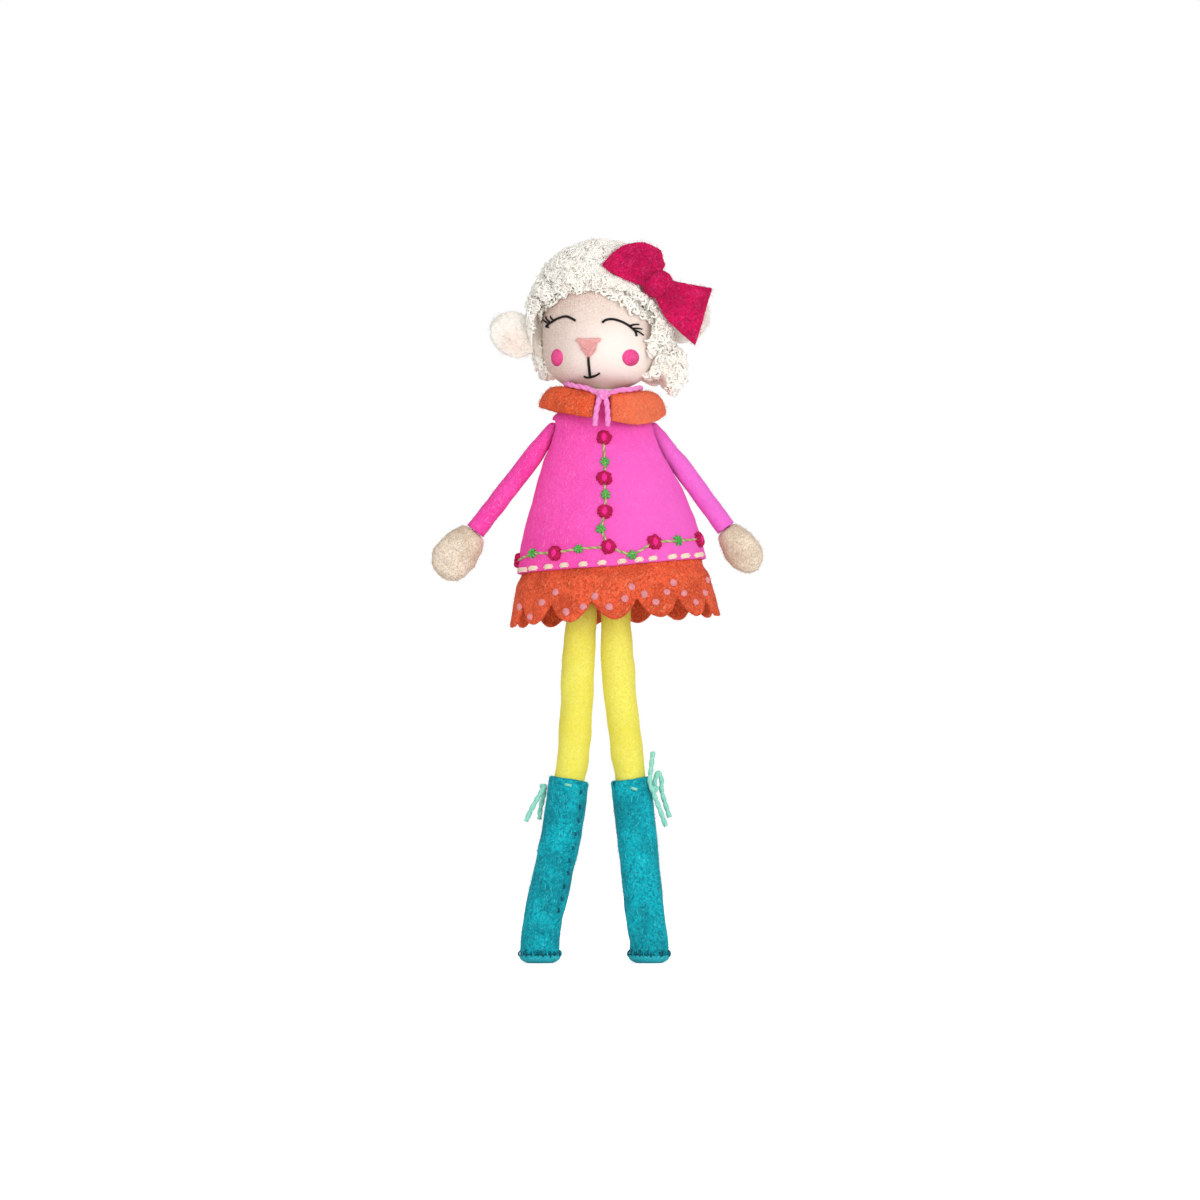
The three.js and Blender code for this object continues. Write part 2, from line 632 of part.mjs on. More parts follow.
function hemSurface(angle, z) {
  const flare = readTable(HEM_FLARE, z);
  return vec(
    (readTable(COAT_WIDTHS, z) + flare) * Math.sin(angle),
    -(readTable(COAT_DEPTHS, z) + (flare > 0 ? FRONT_FLARE_SHARE : 1) * flare) * Math.cos(angle),
    z,
  );
}

// The seam gap at each side, as an angle on the coat's oval
const SIDE_SEAM = GAP / 2 / 25;
const COAT_ROWS = [...[0, 5, 8.5, 12, 19, 26, 39, 49, 59, 69].map((drop) => COAT_TOP_Z - drop), COAT_SEAM_Z];

// Space in which an arm swings about the line through both shoulders, with the armhole it leaves in the coat
function armSpace(side) {
  const clear = ARM_TOP_RADIUS + 2 * GAP;
  const shank = SHANK_RADIUS + GAP;
  const away = 60;
  const profile = [
    [0, -clear - SHANK_LENGTH - GAP], [shank, -clear - SHANK_LENGTH - GAP], [shank, -clear], [7.8, -2.2],
    [11.5, -0.3], [14.4, 1.2], [25.4, 8.7], [30, 12], [30, away], [0, away],
  ].map(([radius, out]) => new THREE.Vector2(radius, out));
  return new THREE.LatheGeometry(profile, 24)
    .rotateZ(-side * Math.PI / 2)
    .translate(side * SHOULDER_X, 0, SHOULDER_Z);
}

const leaned = (geometry) =>
  geometry.translate(0, 0, -TORSO_TOP_Z).rotateY(COAT_LEAN).translate(0, 0, TORSO_TOP_Z);

function coatPanel(middleAngle) {
  const angles = evenly(14, middleAngle - Math.PI / 2 + SIDE_SEAM, middleAngle + Math.PI / 2 - SIDE_SEAM);
  const grid = COAT_ROWS.map((z) => angles.map((angle) => [angle, z]));
  return cut(leaned(feltSheet(coatSurface, grid, -FELT, 0)), armSpace(-1), armSpace(1));
}

// Hem strip, lapped inside the coat's lower edge, with round scallops along its own lower edge, moved round
// by a share of one scallop
function hemPanel(middleAngle, shift) {
  const half = Math.PI / 2 - SIDE_SEAM;
  const places = [];
  for (let scallop = 0; scallop < SCALLOPS + shift; scallop += 1) {
    for (const turn of evenly(6, 0, Math.PI).slice(scallop === 0 ? 0 : 1)) {
      const share = (scallop - shift + (1 - Math.cos(turn)) / 2) / SCALLOPS;
      if (share > -LEAST_STEP && share < 1 + LEAST_STEP) {
        places.push([middleAngle - half + 2 * half * share, SCALLOP_CUSP_Z - SCALLOP_DEPTH * Math.sin(turn)]);
      }
    }
  }
  const level = (z) => places.map(([angle]) => [angle, z]);
  const falling = (share) =>
    places.map(([angle, low]) => [angle, THREE.MathUtils.lerp(HEM_TURN_Z, low, share)]);
  const lapped = [level(COAT_SEAM_Z + HEM_LAP), level(HEM_LAPPED_Z)];
  const grid = [...lapped, level(HEM_TURN_Z), falling(0.5), falling(1)];
  return leaned(feltSheet(hemSurface, grid, -FELT, 0));
}

// Thread roses on the coat front, as places seen from the front
const ROSES = [
  [0.5, COAT_TOP_Z - 18], [0.8, COAT_TOP_Z - 38], [1, COAT_TOP_Z - 55], [2.8, COAT_SEAM_Z + 11],
  [-42.5, COAT_SEAM_Z + 4], [-24, COAT_SEAM_Z + 8], [25.7, COAT_SEAM_Z + 13.5], [46.8, COAT_SEAM_Z + 15],
];

function rose(x, z) {
  const unleaned = vec(x, 0, z - TORSO_TOP_Z).applyAxisAngle(ACROSS, -COAT_LEAN);
  const height = unleaned.z + TORSO_TOP_Z;
  const angle = Math.asin(THREE.MathUtils.clamp(unleaned.x / readTable(COAT_WIDTHS, height), -0.97, 0.97));
  const step = 1e-3;
  const across = coatSurface(angle + step, height).sub(coatSurface(angle - step, height));
  const rising = coatSurface(angle, height + step).sub(coatSurface(angle, height - step));
  const normal = across.cross(rising).normalize();
  const profile = [
    [0, 0], [ROSE_RADIUS * 0.9, 0], [ROSE_RADIUS, ROSE_HEIGHT * 0.45], [ROSE_RADIUS * 0.7, ROSE_HEIGHT],
    [0, ROSE_HEIGHT * 0.8],
  ].map(([radius, out]) => new THREE.Vector2(radius, out));
  const place = coatSurface(angle, height).addScaledVector(normal, GAP);
  const geometry = new THREE.LatheGeometry(profile, 10);
  geometry.applyQuaternion(new THREE.Quaternion().setFromUnitVectors(ACROSS, normal));
  return leaned(geometry.translate(place.x, place.y, place.z));
}

// Collar: falls from the neck, deepest in front, split under the tie
function collarSurface(angle, share) {
  const drop = COLLAR_DROP * (1 + 0.1622 * Math.cos(angle) + 0.2432 * Math.cos(2 * angle));
  const width = THREE.MathUtils.lerp(COLLAR_INNER_RADIUS, COLLAR_HALF_WIDTH, share);
  const depth = THREE.MathUtils.lerp(COLLAR_INNER_RADIUS, COLLAR_HALF_DEPTH, share);
  const z = COLLAR_INNER_Z - drop * (0.35 * share + 0.65 * share * Math.abs(share));
  return vec(width * Math.sin(angle), -depth * Math.cos(angle), z);
}

const rolled = (geometry) => geometry.translate(0, 0, -COLLAR_INNER_Z).rotateY(COLLAR_ROLL)
  .translate(0, 0, COLLAR_INNER_Z);

function collar() {
  const angles = evenly(24, COLLAR_SPLIT, 2 * Math.PI - COLLAR_SPLIT);
  const grid = evenly(4, 0, 1).map((share) => angles.map((angle) => [angle, share]));
  return rolled(feltSheet(collarSurface, grid, -FELT / 2, FELT / 2));
}

// Neck tie: one length of yarn round the collar's top, its two ends hanging from the knot in front
const TIE_LIFT = FELT / 2 + GAP + YARN / 2;

function tiePoints() {
  const round = evenly(18, 0.34, 2 * Math.PI - 0.34).map((angle) => {
    const seat = collarSurface(angle, TIE_SEAT);
    return seat.add(vec(0, 0, TIE_LIFT + 0.25));
  });
  const front = -COLLAR_HALF_DEPTH - YARN;
  const fall = [
    [0.714, -0.755 * COLLAR_HALF_DEPTH, -0.0375], [0.714, -0.8776 * COLLAR_HALF_DEPTH, 0.1625],
    [0.929, -0.9796 * COLLAR_HALF_DEPTH, 0.4], [1.143, front, 0.6625], [1.214, front - GAP, 1],
  ].map(([wide, y, fallen]) => vec(wide * YARN, y, COLLAR_INNER_Z - fallen * TIE_DROP));
  const mirrored = fall.map((point) => vec(-point.x, point.y, point.z));
  return [...fall.reverse(), ...round, ...mirrored];
}

function addBody() {
  const body = addGroup(doll, 'neck_base', 0, 0, 0);
  addPiece(body, 'neck', 'face', neck());
  addPiece(body, 'torso_cover', 'coat', torsoCover());
  addPiece(body, 'torso_stuffing', 'filling', torsoStuffing());
  addPiece(body, 'coat_front', 'coat', coatPanel(0));
  addPiece(body, 'coat_back', 'coat', coatPanel(Math.PI));
  addPiece(body, 'hem_front', 'hem', hemPanel(0, 0));
  addPiece(body, 'hem_back', 'hem', hemPanel(Math.PI, 0.5));
  addPiece(body, 'collar', 'collar', collar());
  addPiece(body, 'neck_tie', 'tie', rolled(cordTube(tiePoints(), YARN, 44)));
  const knot = new THREE.SphereGeometry(KNOT_RADIUS, 10, 8).translate(0, KNOT_Y, COLLAR_INNER_Z + KNOT_RISE);
  addPiece(body, 'tie_knot', 'tie', rolled(knot));
  ROSES.forEach(([x, z], number) => addPiece(body, `rose_${number + 1}`, 'rose', rose(x, z)));
}

// Stuffed limbs: rings square to a bent spine in the plane of the doll's front, with a round top at the pivot
function ringAcross(centre, tangent, width, depth) {
  const side = ACROSS.clone().cross(tangent).normalize();
  return aroundCircle(LIMB_SIDES).map((angle) => centre.clone()
    .addScaledVector(side, width * Math.cos(angle))
    .addScaledVector(ACROSS, depth * Math.sin(angle)));
}

function limbRings(spine, stations, inset, from, to) {
  const length = spine.getLength();
  const top = readTable(stations, 0) - inset;
  const rings = [];
  if (from === 0) {
    const start = spine.getPointAt(0);
    const tangent = spine.getTangentAt(0);
    for (const turn of [0.25, 0.6, 0.95, 1.25]) {
      const centre = start.clone().addScaledVector(tangent, -top * Math.cos(turn));
      rings.push(ringAcross(centre, tangent, top * Math.sin(turn), top * Math.sin(turn)));
    }
  }
  const steps = Math.round(length / LIMB_STEP);
  const between = evenly(steps, 0, 1).filter((share) => share > from + LEAST_STEP && share < to - LEAST_STEP);
  for (const share of [from, ...between, to]) {
    const radius = readTable(stations, -share) - inset;
    rings.push(ringAcross(spine.getPointAt(share), spine.getTangentAt(share), radius, radius));
  }
  return rings;
}

const limbCover = (spine, stations, to) =>
  loft([...limbRings(spine, stations, 0, 0, to), ...limbRings(spine, stations, FELT, 0, to).reverse()]);
const limbStuffing = (spine, stations, to) => loft(limbRings(spine, stations, FELT + GAP, 0, to));

// Stations are [minus the share along the spine, radius]
const ARM_STATIONS = [[0, ARM_TOP_RADIUS], [-0.3, ARM_RADIUS], [-0.75, ARM_RADIUS * 0.98], [-1, ARM_RADIUS]];
const LEG_STATIONS = [
  [0, LEG_TOP_RADIUS], [-0.15, LEG_RADIUS], [-0.42, LEG_RADIUS * 0.97], [-0.47, ANKLE_RADIUS],
  [-0.6, ANKLE_RADIUS], [-1, ANKLE_RADIUS * 0.95],
];
const BOOT_STATIONS = [[0, BOOT_RADIUS], [-0.6, BOOT_RADIUS * 0.99], [-0.95, BOOT_RADIUS * 0.96],
  [-1, BOOT_RADIUS * 0.95]];

const spineFrom = (pivot, places) =>
  new THREE.CatmullRomCurve3(places.map(([x, z]) => vec(x - pivot.x, 0, z - pivot.z)), false, 'centripetal');

// Mitten beyond the wrist: widths and depths along its length, open at the wrist
function handRings(wrist, tangent, length, halfWidth, inset) {
  const form = [
    [0, 0.62, 0.84], [0.18, 0.8, 0.94], [0.45, 1, 1], [0.7, 0.96, 0.96], [0.88, 0.74, 0.76],
    [0.97, 0.4, 0.42],
  ];
  return form.map(([share, wide, deep]) => {
    const along = GAP + share * (length - GAP - inset);
    const centre = wrist.clone().addScaledVector(tangent, along);
    return ringAcross(centre, tangent, halfWidth * wide - inset, HAND_HALF_DEPTH * deep - inset);
  });
}

function addArm(name, side, places, handLength, handHalfWidth) {
  const pivot = vec(side * SHOULDER_X, 0, SHOULDER_Z);
  const arm = addGroup(doll, `shoulder_${name}`, pivot.x, pivot.y, pivot.z);
  const line = places.map(([out, down]) => [pivot.x + side * out, pivot.z - down]);
  const spine = spineFrom(pivot, [[pivot.x, pivot.z], ...line]);
  addPiece(arm, `arm_cover_${name}`, 'coat', limbCover(spine, ARM_STATIONS, 1));
  addPiece(arm, `arm_stuffing_${name}`, 'filling', limbStuffing(spine, ARM_STATIONS, 1));
  const wrist = spine.getPointAt(1);
  const tangent = spine.getTangentAt(1);
  const outside = handRings(wrist, tangent, handLength, handHalfWidth, 0).reverse();
  const inside = handRings(wrist, tangent, handLength, handHalfWidth, FELT);
  addPiece(arm, `hand_cover_${name}`, 'hands', loft([...outside, ...inside]));
  addPiece(arm, `hand_stuffing_${name}`, 'filling',
    loft(handRings(wrist, tangent, handLength, handHalfWidth, FELT + GAP)));
  const shank = new THREE.CylinderGeometry(SHANK_RADIUS, SHANK_RADIUS, SHANK_LENGTH, 10).rotateZ(Math.PI / 2)
    .translate(-side * (ARM_TOP_RADIUS + GAP + SHANK_LENGTH / 2), 0, 0);
  addPiece(arm, `shoulder_thread_${name}`, 'coat', shank);
}

// Domed felt sole under a boot, cut flat where it stands
function sole(foot) {
  const rim = BOOT_RADIUS * 0.95 + SOLE_LIP;
  const depths = [0, 0.12, 0.35, 0.6, 0.8, 0.93, 0.99];
  const domed = depths.map((share) => {
    const radius = rim * (1 - share ** SOLE_POWER) ** (1 / SOLE_POWER);
    return ringAcross(foot.clone().setZ(foot.z - GAP - share * SOLE_DOME), vec(0, 0, -1), radius, radius);
  });
  const floor = new THREE.BoxGeometry(8 * BOOT_RADIUS, 8 * BOOT_RADIUS, SOLE_DOME)
    .translate(foot.x, 0, foot.z - GAP - SOLE_DOME + SOLE_FLAT - SOLE_DOME / 2);
  return cut(loft(domed), floor);
}

function addLeg(name, hipX, places, cords, knotPlace) {
  const pivot = vec(hipX, 0, HIP_Z);
  const leg = addGroup(doll, `hip_${name}`, pivot.x, pivot.y, pivot.z);
  const footZ = SOLE_DOME - SOLE_FLAT + GAP;
  const footX = places[places.length - 1][0];
  const spine = spineFrom(pivot, [[pivot.x, pivot.z], ...places, [footX, footZ + 5], [footX, footZ]]);
  const length = spine.getLength();
  addPiece(leg, `leg_cover_${name}`, 'legs', limbCover(spine, LEG_STATIONS, 1 - GAP / length));
  addPiece(leg, `leg_stuffing_${name}`, 'filling', limbStuffing(spine, LEG_STATIONS, 1 - GAP / length));
  const bootTop = (HIP_Z - BOOT_TOP_Z) / length;
  const outside = limbRings(spine, BOOT_STATIONS, 0, bootTop, 1);
  const inside = limbRings(spine, LEG_STATIONS, -GAP, bootTop, 1).reverse();
  addPiece(leg, `boot_shaft_${name}`, 'boots', loft([...outside, ...inside], true));
  addPiece(leg, `boot_sole_${name}`, 'soles', sole(spine.getPointAt(1)));
  for (const [cordName, points] of Object.entries(cords)) {
    const placed = points.map(([x, y, z]) => vec(x, y, z).sub(pivot));
    addPiece(leg, `${cordName}_${name}`, 'lace', cordTube(placed, YARN * 0.9, 16));
  }
  const knot = new THREE.SphereGeometry(YARN * 0.6, 8, 6);
  addPiece(leg, `lace_knot_${name}`, 'lace', knot.translate(
    knotPlace[0] - pivot.x, knotPlace[1], knotPlace[2] - pivot.z,
  ));
  const shank = new THREE.CylinderGeometry(SHANK_RADIUS * 0.7, SHANK_RADIUS * 0.7, SHANK_LENGTH, 10)
    .rotateX(Math.PI / 2).translate(0, 0, LEG_TOP_RADIUS + GAP + SHANK_LENGTH / 2);
  addPiece(leg, `hip_thread_${name}`, 'legs', shank);
}

addHead();
addBody();
// Sleeves' middle lines as [out from the shoulder, down from it]
const ARM_LINE_RIGHT = [[6, 11.5], [13.5, 22], [25, 37], [37, 52.5]];
const ARM_LINE_LEFT = [[6, 12], [13.5, 22], [24.5, 37], [34.5, 51]];
addArm('right', -1, ARM_LINE_RIGHT, HAND_LENGTH_RIGHT, HAND_HALF_WIDTH_RIGHT);
addArm('left', 1, ARM_LINE_LEFT, HAND_LENGTH_LEFT, HAND_HALF_WIDTH_LEFT);

// Legs from hip to foot, and the yarn ends tied at the outside of each boot's top
const LEG_LINE_RIGHT = [
  [-12.3, 152], [-13, 131], [-14.8, 104], [-17.6, 86], [-21.6, 60], [-29.6, 23.5], [-31.4, 12],
];
const LEG_LINE_LEFT = [[7.2, 152], [9, 131], [12.2, 104], [14.4, 86], [17.2, 60], [21, 23.5], [22.9, 12]];
const LACE_KNOT_RIGHT = [-32.4, 0.4, 88];
const LACE_KNOT_LEFT = [29.1, -1.8, 86.9];
const LACES_RIGHT = {
  lace_ends: [
    [-37, -2.5, 70.5], [-34.2, -2.8, 77], [-30.8, -2.4, 84], [-29.2, -0.6, 87.2], [-29.2, 1.6, 85.8],
    [-29.8, 3, 82], [-30.6, 3.5, 77], [-31, 3.6, 71.5],
  ],
};
const LACES_LEFT = {
  lace_ends: [
    [24.9, -2.5, 105], [25.1, -2.3, 97], [25.6, -1.6, 90], [25.9, -0.8, 86.5], [27.3, -1.4, 81],
    [29.5, -2.3, 74.5], [31.5, -3, 68],
  ],
  lace_loop: [
    [26.5, 2, 85.6], [26.5, 2.4, 90.5], [28.3, 2.6, 94.6], [30.3, 2.4, 91], [30.6, 2, 86],
    [32.2, 1.8, 79.5], [34, 1.6, 72],
  ],
};
addLeg('right', HIP_RIGHT_X, LEG_LINE_RIGHT, LACES_RIGHT, LACE_KNOT_RIGHT);
addLeg('left', HIP_LEFT_X, LEG_LINE_LEFT, LACES_LEFT, LACE_KNOT_LEFT);

// The origin is the middle of the bottom of the doll's box
doll.updateMatrixWorld(true);
const box = new THREE.Box3().setFromObject(doll, true);
doll.position.set(-(box.min.x + box.max.x) / 2, -(box.min.y + box.max.y) / 2, -box.min.z);
doll.updateMatrixWorld(true);

export default doll;
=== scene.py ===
"""A felt lamb doll in its coat, boots and bow: felt, wool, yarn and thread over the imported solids."""

import math
import random

import bmesh
import bpy
from mathutils import Matrix, Vector, geometry, noise
from mathutils.bvhtree import BVHTree


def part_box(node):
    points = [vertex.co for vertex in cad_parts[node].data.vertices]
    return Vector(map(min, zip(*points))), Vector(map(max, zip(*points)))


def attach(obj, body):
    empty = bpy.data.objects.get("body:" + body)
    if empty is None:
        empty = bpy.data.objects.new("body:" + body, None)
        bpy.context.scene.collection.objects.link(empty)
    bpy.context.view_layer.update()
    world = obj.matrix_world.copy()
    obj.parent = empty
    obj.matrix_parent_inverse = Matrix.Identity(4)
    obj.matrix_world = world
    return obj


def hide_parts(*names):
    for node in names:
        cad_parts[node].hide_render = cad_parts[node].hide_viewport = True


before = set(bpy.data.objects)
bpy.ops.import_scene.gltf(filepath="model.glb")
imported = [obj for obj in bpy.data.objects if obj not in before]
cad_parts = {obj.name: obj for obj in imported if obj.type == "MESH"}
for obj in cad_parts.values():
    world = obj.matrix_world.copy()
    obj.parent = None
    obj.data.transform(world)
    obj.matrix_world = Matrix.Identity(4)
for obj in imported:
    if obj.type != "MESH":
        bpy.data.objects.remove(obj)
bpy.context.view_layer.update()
scene = bpy.context.scene

# The doll is drawn in millimetres about the neck's foot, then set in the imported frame
MM = 0.001
HEAD_X, HEAD_Z = -1.5, 316
neck_low, neck_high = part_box("neck")
SHIFT = Vector(((neck_low.x + neck_high.x) / 2 - HEAD_X * MM, (neck_low.y + neck_high.y) / 2, 0))


def at(x, y, z):
    return Vector((x, y, z)) * MM + SHIFT


# Camera and light
VIEW_RISE = math.radians(-2.5)
VIEW_DISTANCE = 2.4
VIEW_WIDTH = 0.6
AIM_Z = 181
PIXELS = 1200
SENSOR = 36


def make_camera():
    camera = bpy.data.objects.new("camera", bpy.data.cameras.new("camera"))
    scene.collection.objects.link(camera)
    look = Vector((0, math.cos(VIEW_RISE), -math.sin(VIEW_RISE)))
    aim = at(HEAD_X, 0, AIM_Z)
    camera.location = aim - look * VIEW_DISTANCE
    camera.rotation_euler = look.to_track_quat("-Z", "Y").to_euler()
    camera.data.sensor_width = SENSOR
    camera.data.lens = SENSOR * VIEW_DISTANCE / VIEW_WIDTH
    scene.camera = camera
    up = Vector((0, math.sin(VIEW_RISE), math.cos(VIEW_RISE)))
    return camera.location.copy(), aim, up


EYE, AIM, VIEW_UP = make_camera()


def sight(px, py):
    """Line of sight through a place of the picture."""
    step = VIEW_WIDTH / PIXELS
    place = AIM + Vector((1, 0, 0)) * (px - PIXELS / 2) * step + VIEW_UP * (PIXELS / 2 - py) * step
    return EYE, (place - EYE).normalized()


def picture(place):
    """Place of the picture at which a point is seen."""
    step = VIEW_WIDTH / PIXELS
    away = place - EYE
    shrink = VIEW_DISTANCE / away.dot((AIM - EYE).normalized())
    return PIXELS / 2 + away.x * shrink / step, PIXELS / 2 - away.dot(VIEW_UP) * shrink / step


def make_lights():
    for name, place, size, power in (
        ("key_light", (0.75, -1.45, 0.45), 1.1, 13),
        ("fill_light", (-0.8, -1.5, 0.14), 1.2, 9.5),
        ("back_light", (0.3, 1.5, 0.8), 1.2, 10),
    ):
        lamp = bpy.data.lights.new(name, "AREA")
        lamp.size = size
        lamp.energy = power
        holder = bpy.data.objects.new(name, lamp)
        holder.location = place
        holder.rotation_euler = (AIM - Vector(place)).to_track_quat("-Z", "Y").to_euler()
        scene.collection.objects.link(holder)


# Materials
def paint(code):
    channels = [int(code[i:i + 2], 16) / 255 for i in (0, 2, 4)]
    return tuple(c / 12.92 if c <= 0.04045 else ((c + 0.055) / 1.055) ** 2.4 for c in channels) + (1,)


def fill(tree, made, inputs):
    """Sets or links inputs of a node."""
    for name, value in inputs.items():
        if isinstance(value, bpy.types.NodeSocket):
            tree.links.new(value, made.inputs[name])
        else:
            made.inputs[name].default_value = value


def add_node(tree, kind, inputs=None, **settings):
    made = tree.nodes.new(kind)
    for name, value in settings.items():
        setattr(made, name, value)
    fill(tree, made, inputs or {})
    return made


def mix_colours(tree, share, first, second):
    # the Mix node repeats its sockets for each kind of value, so its colours go by number
    made = add_node(tree, "ShaderNodeMix", {0: share, 6: first, 7: second}, data_type="RGBA")
    return made.outputs[2]


def maths(tree, operation, first, second):
    return add_node(tree, "ShaderNodeMath", {0: first, 1: second}, operation=operation).outputs[0]


def largest(tree, first, second, third):
    return maths(tree, "MAXIMUM", maths(tree, "MAXIMUM", first, second), third)


def ramp(tree, value, low, high):
    made = add_node(tree, "ShaderNodeMapRange", {"Value": value, "From Min": low, "From Max": high},
                    interpolation_type="SMOOTHSTEP")
    return made.outputs[0]


# How far patches, clumps and stray hairs change a felt's colour and height
PATCH_SHADE, CLUMP_SHADE = 0.55, 0.75
CLUMP_RELIEF, HAIR_RELIEF = 0.75, 0.25
HAIR_STRETCH = 7
HAIR_TURNS = ((0.2, 0.5, 0.4), (0.1, -0.9, 0.3), (0.2, 1.7, -0.5))


def make_fibre_group():
    """Tangled fibres: soft patches, clumps and crossing stray hairs."""
    tree = bpy.data.node_groups.new("tangled fibres", "ShaderNodeTree")
    for name in ("Colour", "Dark", "Pale"):
        tree.interface.new_socket(name, in_out="INPUT", socket_type="NodeSocketColor")
    for name in ("Patch", "Clump", "Hair", "Hairs"):
        tree.interface.new_socket(name, in_out="INPUT", socket_type="NodeSocketFloat")
    tree.interface.new_socket("Colour", in_out="OUTPUT", socket_type="NodeSocketColor")
    tree.interface.new_socket("Height", in_out="OUTPUT", socket_type="NodeSocketFloat")
    given = tree.nodes.new("NodeGroupInput").outputs
    put = tree.nodes.new("NodeGroupOutput").inputs
    place = tree.nodes.new("ShaderNodeTexCoord").outputs["Object"]
    patch = add_node(tree, "ShaderNodeTexNoise", {"Vector": place, "Scale": given["Patch"], "Detail": 3})
    clump = add_node(tree, "ShaderNodeTexNoise", {
        "Vector": place, "Scale": given["Clump"], "Detail": 5, "Roughness": 0.7, "Distortion": 0.8})
    hairs = []
    for turn in HAIR_TURNS:
        lay = add_node(tree, "ShaderNodeMapping", {
            "Vector": place, "Rotation": turn, "Scale": (HAIR_STRETCH, 1, 1)}, vector_type="TEXTURE")
        strand = add_node(tree, "ShaderNodeTexNoise", {
            "Vector": lay.outputs[0], "Scale": given["Hair"], "Detail": 2, "Distortion": 0.5})
        hairs.append(ramp(tree, strand.outputs[0], 0.6, 0.74))
    hair = largest(tree, *hairs)
    soft = maths(tree, "MULTIPLY", ramp(tree, patch.outputs[0], 0.36, 0.7), PATCH_SHADE)
    deep = maths(tree, "MULTIPLY", ramp(tree, clump.outputs[0], 0.58, 0.38), CLUMP_SHADE)
    strays = maths(tree, "MULTIPLY", hair, given["Hairs"])
    shaded = mix_colours(tree, soft, given["Colour"], given["Dark"])
    mottled = mix_colours(tree, deep, shaded, given["Dark"])
    tree.links.new(mix_colours(tree, strays, mottled, given["Pale"]), put["Colour"])
    clump_height = maths(tree, "MULTIPLY", clump.outputs[0], CLUMP_RELIEF)
    hair_height = maths(tree, "MULTIPLY", hair, HAIR_RELIEF)
    tree.links.new(maths(tree, "ADD", clump_height, hair_height), put["Height"])
    return tree


FIBRES = make_fibre_group()
FELT_GLOSS, SHEEN_SPREAD = 0.2, 0.6


def woolly(name, colour, dark, pale, patch=60, clump=700, hair=1500, hairs=0.4, bump=0.5, deep=0.5,
           sheen=0.08, rough=0.95, blush_and_painted_light=None):
    """Felt, wool, yarn or thread.

    blush_and_painted_light is a second colour, the place that it comes in towards, the distances from
    there at which it is full and gone, and its greatest share. On the ears it is the felt's own pink
    inside; on the coat, sleeves, collar and face it is painted light, paler where the lamps fall.
    """
    material = bpy.data.materials.new(name)
    material.use_nodes = True
    tree = material.node_tree
    fibres = add_node(tree, "ShaderNodeGroup", {
        "Colour": paint(colour), "Dark": paint(dark), "Pale": paint(pale), "Patch": patch, "Clump": clump,
        "Hair": hair, "Hairs": hairs}, node_tree=FIBRES)
    shade = fibres.outputs["Colour"]
    # second colour: painted light on the coat, sleeves, collar and face, the ears' own pink inside
    if blush_and_painted_light:
        tint, centre, near, far, most = blush_and_painted_light
        place = tree.nodes.new("ShaderNodeTexCoord").outputs["Object"]
        away = add_node(tree, "ShaderNodeVectorMath", {0: place, 1: centre}, operation="DISTANCE")
        share = maths(tree, "MULTIPLY", ramp(tree, away.outputs["Value"], far * MM, near * MM), most)
        shade = mix_colours(tree, share, shade, paint(tint))
    relief = add_node(tree, "ShaderNodeBump", {
        "Strength": bump, "Distance": deep * MM, "Height": fibres.outputs["Height"]})
    fill(tree, tree.nodes["Principled BSDF"], {
        "Base Color": shade, "Normal": relief.outputs[0], "Roughness": rough,
        "Specular IOR Level": FELT_GLOSS, "Sheen Weight": sheen, "Sheen Roughness": SHEEN_SPREAD,
        "Sheen Tint": paint(pale)})
    return material


def ear_felt(name, blush_place):
    return woolly(name, "F5F2EC", "EAE0D2", "FCF9F3", patch=70, clump=900, hairs=0.4,
                  blush_and_painted_light=("F3DED4", blush_place, 1, 10.5, 0.85))


def stitch_thread(name, colour, dark, pale, clump=2200, hairs=0.4):
    """Fine embroidery thread."""
    return woolly(name, colour, dark, pale, patch=300, clump=clump, hair=5000, hairs=hairs, rough=0.7)


# painted light: the coat turns paler and more violet towards the doll's left, where the key light falls
COAT = woolly("pink coat felt", "FA52B2", "E63A9A", "FC90D4", patch=45, clump=800, hairs=0.5,
              blush_and_painted_light=("EA6CD0", at(42, -25, 225), 12, 90, 0.6))
# painted light: the sleeve felt turns paler and more violet towards the left arm, where the key light falls
SLEEVE = woolly("pink sleeve felt", "F850B2", "E03494", "FC90D6", patch=60, clump=800, hairs=0.5,
                blush_and_painted_light=("E478DE", at(60, -5, 235), 20, 85, 0.6))
HEM = woolly("orange hem felt", "F4623E", "A8341A", "FA9A6C", patch=90, clump=800, hairs=0.65, bump=1)
# painted light: the collar turns paler towards its front on the doll's left, where the key light falls
COLLAR = woolly("orange collar felt", "F66239", "AE3A1C", "FCA67C", patch=80, clump=800, hairs=0.65,
                bump=1, blush_and_painted_light=("FE8A64", at(32, -22, 276), 10, 46, 0.5))
LEGGING = woolly("yellow legging felt", "F1EA68", "E2D648", "F8F4A4", patch=50, clump=900, hairs=0.35)
BOOT = woolly("teal boot felt", "06BACA", "036272", "48DCE6", patch=75, clump=700, hairs=0.65, bump=1,
              sheen=0.03)
SOLE = woolly("pale teal sole felt", "34BECA", "1596A6", "70DCE2", patch=70, clump=850, hairs=0.5)
BOW = woolly("magenta bow felt", "E0085A", "98043C", "EE5090", patch=80, clump=750, hairs=0.6, bump=1,
             sheen=0.03)
BOW_FIBRE = woolly("magenta stray fibres", "DC3A7E", "B8145A", "F08CB4", patch=300, clump=700, hairs=0.3)
